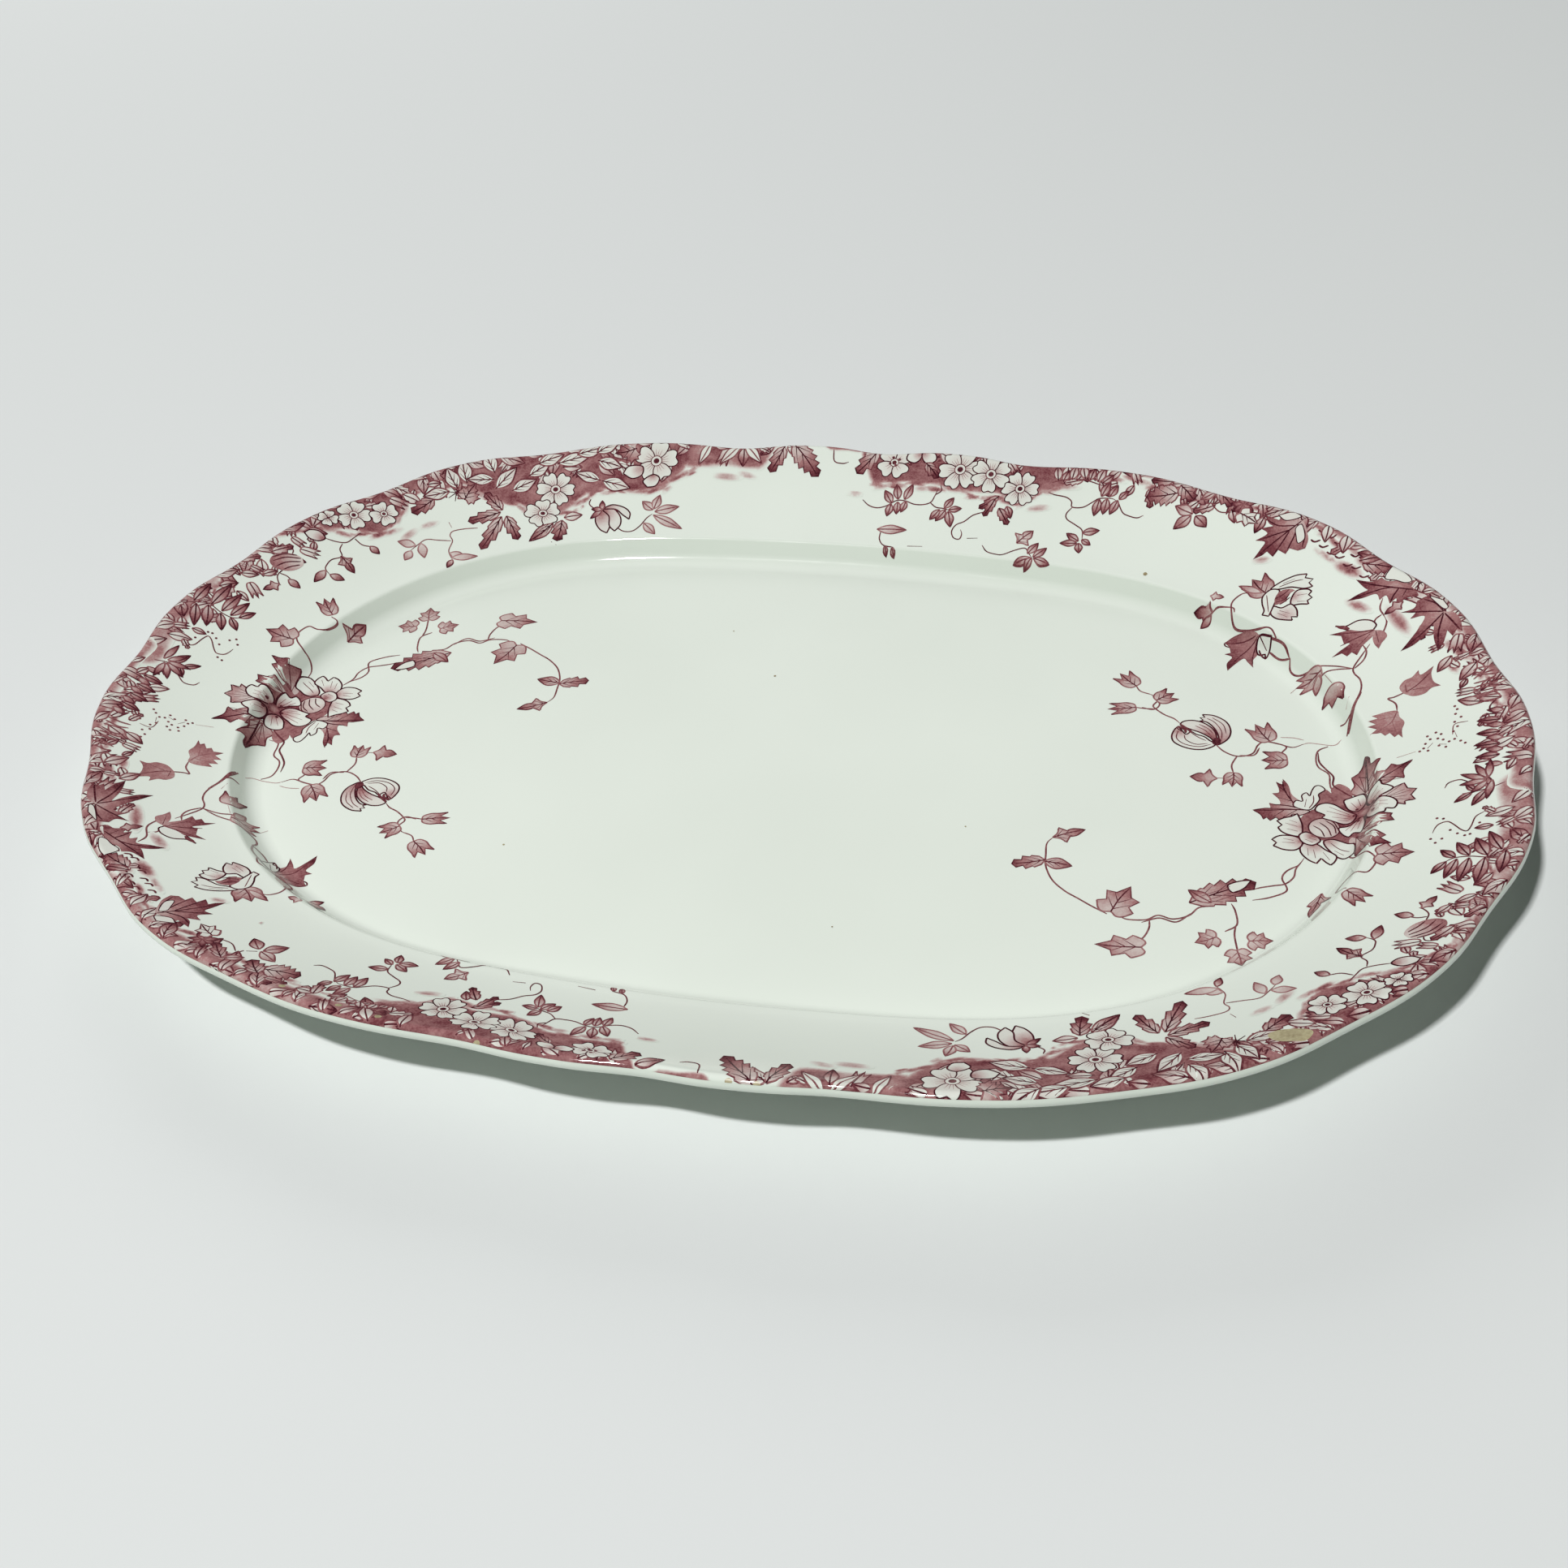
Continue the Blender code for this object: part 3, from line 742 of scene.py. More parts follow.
    # petals of the upper flower
    petal(sheet, [(165, -15), (164.6, -17), (162.6, -18.2), (160.8, -17.4), (159, -15.6), (157, -13),
        (156.6, -11), (158.6, -10), (161, -10.5), (163, -11.6), (164.7, -12.4)], 0.04, 0.52,
        (157.5, -10.5, 4, 0.5))
    petal(sheet, [(160.2, -16.6), (160, -19), (159, -20.6, 1), (157.6, -19.6), (156.3, -18.2, 1),
        (155.2, -20.5, 1), (153, -19.4), (151, -17.2), (150.4, -15), (151, -13), (154.6, -12.6),
        (157.2, -14.6)], 0.04, 0.52, (154, -13, 4, 0.55))
    petal(sheet, [(150.6, -14.2), (149, -15.9), (146, -16.1), (143.2, -15, 1), (143.9, -13.6, 1),
        (142.6, -12.4, 1), (144, -10.9), (146, -10.2), (149, -10.4), (150.8, -12)], 0.04, 0.52,
        (150.4, -12, 4, 0.5))
    petal(sheet, [(150.2, -9.8), (147, -9.8), (144.9, -8.7), (143.8, -7.2, 1), (144.8, -6, 1),
        (143.3, -4.4, 1), (145, -3), (147, -2), (148.6, -0.6, 1), (149.6, -3), (150.4, -6)], 0.04, 0.52,
        (150.6, -6, 4, 0.5))
    petal(sheet, [(155.6, -11), (153.6, -13.2), (150.9, -12.4), (149.7, -9.8), (151.4, -8), (154, -9)],
        0.08, 0.52, (153.6, -9.6, 3, 0.7))
    lines(sheet, [[(163.6, -15.4), (160.6, -13.6), (158.4, -11.6)], [(162.2, -16.6), (159.6, -14.6)],
        [(158.6, -18.6), (156.6, -15.6)], [(154.8, -18.4), (154, -15)], [(152.8, -17.6), (152.4, -14.6)],
        [(148.8, -13), (145.4, -13.2)], [(148.4, -12), (145.6, -11.6)], [(149.2, -8), (146.2, -7.4)],
        [(149, -6), (145.6, -5)], [(148.8, -4.4), (146.6, -3.6)], [(154.6, -11), (152.4, -10)],
        [(153.6, -12), (151.4, -11)]], 0.3, 0.8)
    # the ball at its heart
    ball = ring(156.3, -5.6, 4.3, -4.1, 12)
    sheet.fill(ball, from_point((155, -7.4), 6, 0.05, 0.34, 0.9))
    sheet.edge(ball, 0.42, 0.9)
    lines(sheet, [[(159.6, -7.4), (158.8, -4.4), (156.4, -2.4)],
        [(158.4, -8.6), (157.2, -5.6), (154.8, -3.4)], [(156.6, -9.2), (155.4, -6.6), (153.2, -5)],
        [(160, -5.6), (158.8, -3), (157, -1.8)]], 0.4, 0.92)
    # petals of the lower flower round its shadowed middle
    petal(sheet, [(167, -4.6), (166.2, -8), (164.3, -7.3), (163, -8.7), (161, -7.2), (160.2, -5),
        (162.8, -4), (165, -2), (166.4, -1.2)], 0.04, 0.52, (165.4, -1.8, 5, 0.6))
    petal(sheet, [(175, -1), (174.3, -3.4), (172.2, -3.3), (171.7, -4.7), (169.4, -4.8), (167.4, -3),
        (167.3, -0.6), (169, 1), (171, 1.9), (173.5, 1.1)], 0.04, 0.52, (167, 0, 5, 0.6))
    petal(sheet, [(168.2, 1.6), (171, 2.8), (173.6, 5.2), (172.2, 6.6), (170.7, 7.1), (169.8, 9.1),
        (167.7, 7.6), (167, 4)], 0.04, 0.52, (167.6, 2.4, 4.5, 0.6))
    petal(sheet, [(167, 4.6), (166.2, 8), (164, 8.5), (161, 7.1), (161.3, 5), (162.4, 3), (164.4, 1.8),
        (166, 2.4)], 0.05, 0.52, (165.6, 2.4, 4.5, 0.6))
    petal(sheet, [(164.6, 0), (163.6, -2.4), (161.4, -3.2), (158, -2.2), (155.4, -1.3), (156, 0),
        (153.4, 1.4), (153.9, 3.8), (156, 5.1), (158.5, 4.7), (161, 3), (163.5, 1.5)], 0.04, 0.52,
        (163.6, 0, 5.5, 0.6))
    lines(sheet, [[(166, -2.6), (165.2, -6)], [(165, -2.8), (163.4, -6.4)], [(164, -3.2), (162, -6)],
        [(168.2, -1), (172.6, -1.6)], [(168.4, -2.2), (171.8, -3)], [(168.6, 0), (172.4, 0)],
        [(168.2, 3), (171, 5.2)], [(168, 4.6), (169.6, 7)], [(165.6, 3.6), (164.6, 7)],
        [(164.6, 3.2), (162.8, 6)], [(163, -1), (158, -0.6)], [(163, 0), (156.4, 1.8)],
        [(162.6, 1), (157, 3.6)], [(162.6, -1.8), (159.6, -1.8)]], 0.32, 0.72)
    heart = ring(166.4, 0.2, 1.6, -1.8)
    sheet.fill(heart, from_point((166.4, 0.2), 1.8, 0.35, 0.75))
    for x, y in ((168.6, 2.2), (164.6, 2.6), (168.8, -1.6), (165.2, -2.4), (164, 0.2)):
        dot(sheet, x, y, 0.5, 0.85)


# ---------------------------------------------------------------- more of the spray, as it lies on the left
def spray_far_end(sheet):
    lines(sheet, [[(-100.5, 46.2), (-96, 43.8), (-92, 41.4), (-88, 39), (-84, 35.2), (-81.4, 30),
        (-80.6, 25), (-80.2, 20.5), (-81.6, 17.6)], [(-127, 39), (-124.2, 40), (-122, 43.4), (-118, 45.4),
        (-114, 44.6), (-111, 46.8), (-106, 47.4), (-103, 46)],
        [(-122.4, 42.6), (-119, 46.4), (-114.4, 45.6), (-110, 48)],
        [(-112, 47), (-112.2, 50), (-111, 54), (-108, 56.6)],
        [(-150.4, 17), (-148.4, 20.4), (-148, 24), (-146, 27), (-143, 28.2), (-139.5, 29.6), (-137, 31)],
        [(-149, 19), (-146, 21.8), (-145, 25), (-146.6, 29.6), (-142.4, 33), (-138, 34.8)],
        [(-132, 48), (-134.8, 45), (-134, 40), (-132.6, 37)], [(-136, 55), (-134.6, 49), (-134.6, 45)],
        [(-163.6, 42), (-161, 40.4), (-163, 36.2), (-165.5, 35), (-168.4, 35.4), (-170, 33),
        (-170.5, 30.5), (-169.6, 28), (-167, 25.5), (-164.4, 24), (-163, 21), (-163, 18)]], 0.52, VINE)
    leaves(sheet, (
        (SAW, (-121.6, 38.4), (-138.2, 27.6), 9.6, 0.74, 0.7, 0.85, 0.62),
        (LENS, (-127.4, 37.4), (-120.8, 33.4), 3.6, 0.6, 0.6, 0.6, 0.7)))
    petal(sheet, [(-131, 30), (-134, 27.8), (-137, 27, 1), (-135.4, 30.4), (-132.6, 32.6)], 0.05)
    lines(sheet, [[(-135.8, 30.4), (-126, 36.8)], [(-134.6, 32.6), (-126.4, 38)],
        [(-131.6, 30.4), (-124.4, 35.4)]], 0.34, 0.8)
    leaves(sheet, (
        (IVY, (-111.2, 57.4), (-99, 58.2), 7.6, 0.55, 0, 0.7, 0.75),
        (IVY, (-101.4, 45.2), (-105.4, 34.6), 9.8, 0.6, 0, 0.75, 0.72)))
    for base, tip in (
            ((-135.8, 54.6), (-137.6, 61)), ((-138.6, 50.6), (-144.6, 49.8)),
            ((-130, 50.4), (-124.8, 53.4))):
        leaf_to(sheet, IVY, base, tip, 6.4, 0.5, 0, 0.5, 0.8)
    leaves(sheet, (
        (LENS, (-80.6, 28), (-88.4, 28.8), 4.4, 0.6, 0, 0.7, 0.7),
        (SAW3, (-80.8, 27.4), (-72, 30.4), 5.4, 0.66, 0, 0.7, 0.7),
        (TREFOIL, (-81.4, 17.8), (-89.8, 13.2), 6.6, 0.64, 0, 0.7, 0.7),
        (TREFOIL, (-157.4, 37.6), (-154.4, 46.2), 7.2, 0.6, 0, 0.7, 0.72),
        (TULIP, (-163.6, 43), (-168.6, 48.6), 5.6, 0.6, 0, 0.7, 0.72),
        (IVY, (-170.8, 28), (-180, 28.6), 8.6, 0.64, 0, 0.75, 0.66)))


def bloom_ground(sheet):
    """The dark ink that shows between the petals."""
    sheet.fill([(166, -13), (160.5, -13.8), (157.6, -11), (153, -10.6), (149.6, -7), (149.8, -2),
        (152.4, 1.6), (156.5, 3.6), (160, 5.4), (164.6, 6), (168.8, 5.2), (171.2, 2.4), (170.4, -1),
        (169.6, -4.4), (167.8, -8)], from_point((161, -3), 12, 0.74, 0.56))


# ---------------------------------------------------------------- the border on the left and far left
def border_left_ground(sheet):
    wash(sheet, [(-66, 131), (-68.5, 125.5), (-72, 121), (-78, 118.8), (-85, 117.6), (-92, 117),
        (-96, 115.6), (-100, 112), (-103, 107), (-108, 104.2), (-115, 103.4), (-120, 105.6), (-128, 104.6),
        (-133, 106), (-140, 108), (-147, 106.4), (-152, 103), (-157.4, 97), (-156.6, 92), (-157.4, 86),
        (-160, 81.4), (-165, 79.6), (-172, 78), (-178, 75.4), (-184, 76), (-188, 74), (-200, 84),
        (-190, 104), (-160, 128), (-110, 148), (-64, 152)], 0.6, 1.5, 0.2)
    wash(sheet, [(-68, 130.6), (-60, 130), (-52, 131), (-44, 130.6), (-38.6, 133.4), (-37.6, 152),
        (-70, 152)], 0.56, 2, 0.3)
    wash(sheet, [(-20, 141), (-12, 140.4), (-5, 141), (-5, 152), (-22, 152)], 0.6, 1, 0.2)
    wash(sheet, [(-188, 75), (-192, 68), (-196.4, 58), (-198.6, 46), (-200, 30), (-201.4, 12),
        (-201.6, -3), (-216, -3), (-216, 40), (-204, 74), (-196, 86)], 0.44, 2.4, 0.25)
    wash(sheet, [(-180, 77.6), (-186, 71), (-192, 63), (-197, 52), (-212, 52), (-206, 84), (-186, 100)],
        0.46, 2.4, 0.35)
    for x, y, angle, along, across, ink in (
            (-152, 84, 60, 4.5, 1.6, 0.4), (-147, 90, 40, 4, 1.4, 0.35), (-52, 127.5, 0, 6, 1.6, 0.4),
            (-67, 127, 40, 3, 1.4, 0.35), (-71.5, 120.5, 50, 2.6, 1.2, 0.35),
            (-45, 128.8, -10, 4, 1.4, 0.35), (-42, 137, 0, 4, 3, 0.4)):
        smudge(sheet, x, y, angle, along, across, ink)
    ragged(sheet, [(-62, 131), (-70, 124), (-80, 118.4), (-94, 116.6), (-101, 108), (-110, 103.4),
        (-122, 105), (-146, 106.8), (-156.6, 98), (-157.6, 86), (-163, 79.6), (-176, 76), (-188, 70),
        (-196, 56), (-199, 40), (-201, 20)])


def border_left(sheet):
    flower(sheet, -171.4, 84.9, 5.8, 20, 5, 0.95)
    flower(sheet, -162.4, 89.1, 4.8, 45, 4, 0.95)
    flower(sheet, -178.6, 80.4, 3.4, 10, 4, 0.9, eye=0)
    # bud and sprig below the flowers
    lines(sheet, [[(-167, 79), (-168.5, 76), (-170, 73.5), (-173, 72.5), (-177, 72.3)],
        [(-168, 76), (-165, 74.6), (-162, 75)], [(-171, 72.5), (-171, 70), (-169.5, 67.5), (-172, 65),
        (-172.7, 62.5), (-172.5, 60.5), (-170.3, 58.8)], [(-189.5, 62), (-187, 64), (-184.5, 63.5),
        (-184, 61)], [(-184.5, 54.5), (-185.2, 51.5), (-184, 49), (-182.8, 48)],
        [(-184.8, 52.6), (-182.5, 52.5), (-180.5, 51.5)]], 0.42, 0.82)
    petal(sheet, [(-176.8, 72.4), (-179.4, 74.2), (-182.4, 73.4), (-183.6, 71.6, 1), (-181.4, 70.2),
        (-178.4, 70.4)], 0.1, 0.5, (-177, 72, 4, 0.6))
    leaves(sheet, (
        (LENS, (-162.4, 75), (-158.6, 73.2), 2.4, 0.75),
        (TREFOIL, (-169.8, 67.6), (-163.4, 62.6), 5.4, 0.78, 0, 0.8, 0.6),
        (LENS, (-170.4, 58.9), (-165.4, 58.6), 2.6, 0.8), (LENS, (-172.3, 60), (-173.9, 54), 2.8, 0.8)))
    sheet.fill([(-180.6, 61.4, 1), (-182.6, 62), (-186, 61.2), (-189.2, 58.6), (-189.4, 55.6), (-187, 54),
        (-183.4, 54.4), (-180.6, 56.4), (-179.4, 59.2)], from_point((-181, 60), 9, 0.15, 0.6))
    lines(sheet, [[(-181, 61.2), (-185.4, 59.6), (-188.6, 56.4)],
        [(-180.6, 60), (-184.6, 57.8), (-187, 54.6)], [(-180.4, 58.6), (-182.8, 56.6), (-184.4, 54.6)],
        [(-182.6, 61.9), (-186.4, 60.6), (-189.2, 57.8)]], 0.5, 0.9)
    leaves(sheet, (
        (LENS, (-181.6, 51.4), (-177, 49.6), 2.6, 0.75),
        (TREFOIL, (-183.4, 48.4), (-187, 43.8), 4.4, 0.75)))
    # leaf on the wash and the pale sprigs inside it
    leaf_to(sheet, SAW3, (-148.4, 100.4), (-153.8, 92.8), 5.8, 0.9, 0, 0.9, 0.55)
    lines(sheet, [[(-138, 86), (-142, 85), (-146, 84), (-148, 81), (-149.5, 78)],
        [(-131, 93.5), (-135, 92), (-138.5, 90), (-139, 88), (-137.5, 86), (-137.5, 82), (-136, 79.5),
        (-135, 78.5)], [(-141, 93), (-139.4, 91.2)]], 0.38, 0.62)
    for base, tip, wide in (
            ((-148.6, 80.6), (-154.6, 80.2), 3), ((-149.2, 78), (-150, 73.6), 2.8),
            ((-147.2, 82), (-144.2, 76.6), 3), ((-136.8, 81), (-131, 80.2), 3.2),
            ((-135.6, 79.2), (-127.4, 82), 2.8)):
        leaf_to(sheet, LENS, base, tip, wide, 0.4, 0.4, 0, 0.7)
    leaf_to(sheet, LENS, (-135, 78.4), (-135.6, 74.6), 2, 0.8)
    # ferns on the left
    lines(sheet, [[(-205, 27), (-202, 28.8), (-199, 30), (-195, 28.5), (-191, 28), (-188, 29.6)],
        [(-203, -1), (-200, 0), (-196, 0.6), (-192.4, 0.6)],
        [(-198, 10), (-196, 11.5), (-195, 15), (-194, 17), (-192.5, 16), (-190.5, 13), (-189, 11.5),
        (-187, 12), (-186, 13.5), (-185.4, 15.6)], [(-196.6, -2.4), (-195, -3), (-192, -5.5), (-189, -5),
        (-188, -3)]], 0.4, 0.8)
    for base, tip, wide in (
            ((-198.4, 30), (-196.2, 41), 3.4), ((-194.6, 29), (-192, 38.8), 3.2),
            ((-191.6, 28.6), (-188.6, 36.4), 2.8), ((-189, 29), (-185.4, 33.4), 2.4),
            ((-199, 29.4), (-196.2, 20.8), 3.4), ((-194.6, 28), (-191.6, 21.4), 2.8),
            ((-191.2, 27.8), (-187.6, 23.6), 2.4), ((-202.4, 28), (-199.4, 19), 3),
            ((-203.4, 28.6), (-201.8, 38), 3.2), ((-198.6, 0.6), (-195, 6.4), 2.6),
            ((-199, -0.4), (-198, -5.6), 2.4), ((-195.8, 0.2), (-193.4, -3), 1.8),
            ((-195, 0.6), (-190.6, 3.8), 2)):
        leaf_to(sheet, LENS, base, tip, wide, 0.84, 0, 0.9, 0.5)
    for x, y in (
            (-194.7, 18.6), (-193.4, 18.8), (-197, 14.4), (-187.8, 18.6), (-186.2, 20), (-185, 18),
            (-188, 10), (-186.4, 9.4), (-191.6, 17.4), (-189.8, 15.4)):
        dot(sheet, x, y, 0.42, 0.8)
    fan = []
    for step in range(7):
        angle = math.radians(-34 + 13 * step)
        fan.append([(-200 + 1.8 * math.cos(angle), 49.5 + 1.8 * math.sin(angle)),
            (-200 + 5.4 * math.cos(angle), 49.5 + 5 * math.sin(angle))])
    lines(sheet, fan, 0.46, 0.66)
    # leaves and flowers in the far left border
    for base, tip, kind, wide, tone in (
            ((-142, 106.6), (-146.6, 111.8), LENS, 4, 0.06),
            ((-139.6, 109.6), (-143, 116.4), LENS, 4, 0.06),
            ((-144.4, 104.8), (-150.4, 101.2), LENS, 3.6, 0.12),
            ((-131.6, 116), (-136, 121.6), LENS, 4, 0.06), ((-131, 113.6), (-138, 111.6), LENS, 3.6, 0.06),
            ((-129.6, 110), (-126, 117.6), LENS, 4, 0.06), ((-124, 110.6), (-118.6, 115.4), LENS, 4, 0.08),
            ((-120, 117.6), (-115.4, 122.6), LENS, 3.8, 0.06), ((-118, 123), (-112, 127), LENS, 3.8, 0.06),
            ((-111.6, 124.4), (-103, 128.6), LENS, 4, 0.06),
            ((-105.6, 129), (-98.6, 132.4), LENS, 3.8, 0.06),
            ((-99, 130.6), (-93.6, 135.6), LENS, 3.8, 0.06), ((-98, 128), (-91, 127), LENS, 3.8, 0.06),
            ((-95, 120.7), (-102.4, 121.8), LENS, 3.4, 0.06),
            ((-94.6, 120.6), (-86.6, 119.6), LENS, 4.2, 0.06)):
        tip = [start + 1.3 * (end - start) for start, end in zip(base, tip)]
        leaf_to(sheet, kind, base, tip, 1.25 * wide, tone + 0.12, 0.92, 0.75, 0.3)
    leaf_to(sheet, MAPLE, (-138.6, 103), (-136.6, 110.6), 7, 0.7, 0, 0.9, 0.6)
    for step in range(8):
        angle = math.radians(45 * step + 10)
        lines(sheet, [[(-142, 105), (-142 + 3.4 * math.cos(angle), 105 + 3.4 * math.sin(angle))]], 0.6,
            0.95)
    flower(sheet, -109.5, 114.5, 6.6, 10, 6)
    flower(sheet, -111.2, 104.4, 6.2, 35, 5, 0.85, streaks=4)
    for base, tip, wide in (
            ((-125, 102.6), (-132.6, 107.6), 4.6), ((-125.4, 101.6), (-134.8, 95.2), 4.8),
            ((-124.6, 100), (-127.2, 85.2), 5.2), ((-123, 100.6), (-116.4, 92.2), 4.8)):
        leaf_to(sheet, SAW3, base, tip, wide, 0.76, 0.8, 0.9, 0.45)
    leaf_to(sheet, LENS, (-106.6, 101.2), (-112.4, 92.2), 4.2, 0.72, 0.8, 0.9, 0.4)
    lines(sheet, [[(-106.8, 99.8), (-111.2, 93.4)], [(-107.8, 100.8), (-112.6, 94.2)]], 0.36, 0.9)
    leaves(sheet, (
        (SAW3, (-104, 103), (-103.2, 94.2), 5.6, 0.86, 0.8, 0.9, 0.5),
        (LENS, (-103.6, 104.2), (-97.8, 106.4), 3.4, 0.3, 0.8, 0.7, 0.5)))
    lines(sheet, [[(-96.5, 113), (-96.5, 111), (-94.5, 109.7), (-92, 109.5)],
        [(-85, 103.5), (-82, 102), (-79, 102.5), (-77, 105), (-75.5, 108.5), (-74, 110.4)],
        [(-105, 93.4), (-103, 92.6)]], 0.42, 0.82)
    petal(sheet, [(-93, 108.6), (-92.6, 104.6), (-90.2, 101.6), (-87.4, 100.4, 1), (-87.2, 104),
        (-88.6, 107.4), (-91, 109.6)], 0.1, 0.5, (-92, 108, 6, 0.6))
    petal(sheet, [(-91.4, 109.6), (-88.6, 107.4), (-87.4, 103.6), (-85, 101.6, 1), (-83.8, 104.6),
        (-84.8, 108), (-88, 110.6)], 0.08, 0.5, (-91, 109, 6, 0.6))
    petal(sheet, [(-91, 110), (-87, 110.4), (-84, 108.6), (-81.4, 107.2, 1), (-81.8, 109.8),
        (-84.4, 111.6), (-88.6, 112)], 0.08, 0.5, (-91, 110, 6, 0.6))
    for tip in ((-94.6, 105.4), (-95.2, 109.2), (-92.4, 113)):
        leaf_to(sheet, LENS, (-91.6, 109.6), tip, 1.8, 0.9)
    for base, tip, wide in (
            ((-74.2, 112), (-78.6, 114.8), 3), ((-74, 112.4), (-73.2, 118), 3),
            ((-73.4, 111.4), (-65.6, 114.4), 3.4), ((-73.6, 110), (-62.4, 105.6), 3.2),
            ((-76, 106.4), (-71, 102.2), 3)):
        leaf_to(sheet, LENS, base, tip, wide, 0.42, 0.6, 0.5, 0.6)
    flower(sheet, -77.6, 130.6, 7.4, 18, 5)
    petal(sheet, [(-82, 128), (-86.6, 127.4), (-88, 124.4, 1), (-84.4, 123), (-81.4, 124.8)], 0.05, 0.5,
        (-82, 127, 4, 0.5))
    petal(sheet, [(-77.6, 125.4), (-80.4, 122.6), (-78.4, 120.4, 1), (-75.6, 121.4), (-75, 124.4)], 0.05,
        0.5, (-77.6, 125, 3, 0.5))
    leaf_to(sheet, MAPLE, (-85.4, 134.4), (-92.6, 131.4), 8.6, 0.85, 0.6, 0.9, 0.5)
    # the lighter stretch near the far middle
    leaves(sheet, (
        (LENS, (-48.4, 140.6), (-41, 133.6), 3.4, 0.08, 0.85, 0.5, 0.5),
        (LENS, (-49.4, 140.4), (-55.4, 132), 3.4, 0.16, 0.85, 0.5, 0.5),
        (LENS, (-60, 140), (-62.6, 131), 3.2, 0.1, 0.85, 0.5, 0.5),
        (SAW3, (-34.2, 140.6), (-37.2, 130.6), 5.4, 0.78, 0.7, 0.9, 0.5),
        (SAW, (-31.6, 142.2), (-20.4, 130.4), 7.6, 0.82, 0.7, 0.92, 0.4)))
    lines(sheet, [[(-17, 140.6), (-16, 136.5), (-13, 135.8), (-11, 136.5)], [(-33, 140), (-28, 141)],
        [(-58, 139), (-50, 141.4)]], 0.42, 0.82)


# ---------------------------------------------------------------- the border on the far side and the right
def border_right_ground(sheet):
    wash(sheet, [(-3, 130.6), (3, 129.4), (10, 130.2), (18, 129.8), (25, 128.6), (33, 127.6), (41, 127.6),
        (47, 125.4), (53, 128), (62, 131), (66, 134), (66, 152), (-4, 152)], 0.62, 1.3, 0.12)
    wash(sheet, [(66, 136.6), (76, 137), (88, 134.4), (98, 131.6), (108, 129.8), (118, 126.4), (128, 123),
        (136, 119.6), (142, 115.6), (150, 108.6), (158, 102.4), (166, 97.6), (172, 91), (178, 82.6),
        (184, 74), (188, 65), (191.6, 57), (196, 47), (200, 36), (202.6, 22), (203.4, 8), (203.4, -3),
        (216, -3), (216, 40), (200, 84), (176, 112), (140, 136), (90, 150), (66, 152)], 0.5, 2.2, 0.25)
    for x, y, angle, along, across, ink in (
            (61, 131.4, -2, 8, 1.6, 0.45), (57, 129.4, -8, 4, 1.3, 0.4), (55.5, 123.2, 8, 4.6, 1.5, 0.42),
            (-6.5, 125, 0, 3.4, 1.2, 0.4), (15.5, 128.4, 0, 3, 1.2, 0.35), (129, 103, 0, 3.4, 1.6, 0.42),
            (148.5, 102, -42, 6.4, 1.3, 0.42), (155.5, 96, -38, 6.8, 2.4, 0.66),
            (159.6, 81.4, -36, 5.6, 2, 0.5), (171.4, 73.4, -60, 8.6, 2.4, 0.58),
            (189.4, 56.6, -54, 6, 1.9, 0.62), (187.6, 51.6, -64, 3.8, 1.7, 0.55),
            (193.4, 60, -58, 5.2, 1.6, 0.6), (113, 108.8, 80, 1.4, 0.6, 0.4), (160, 98, -40, 4, 2, 0.4),
            (186.4, 60, -56, 3.6, 1.6, 0.4)):
        smudge(sheet, x, y, angle, along, across, ink)
    ragged(sheet, [(0, 129), (18, 129.4), (34, 127), (48, 125), (58, 130), (72, 135), (98, 131),
        (120, 125), (140, 116), (158, 101), (172, 90), (184, 73), (192, 56), (198, 40), (202, 20)])
    curls = []
    for step in range(9):
        x, y = (147 + 2.6 * step, 111.4 - 2.5 * step + 0.9 * math.sin(3 * step))
        curls.append([(x - 1.6, y + 0.6), (x, y - 0.6), (x + 1.6, y + 0.5)])
        curls.append([(x - 3.6, y - 2.6), (x - 2.4, y - 3.6), (x - 0.6, y - 3.2)])
    lines(sheet, curls, 0.62, 0.88)


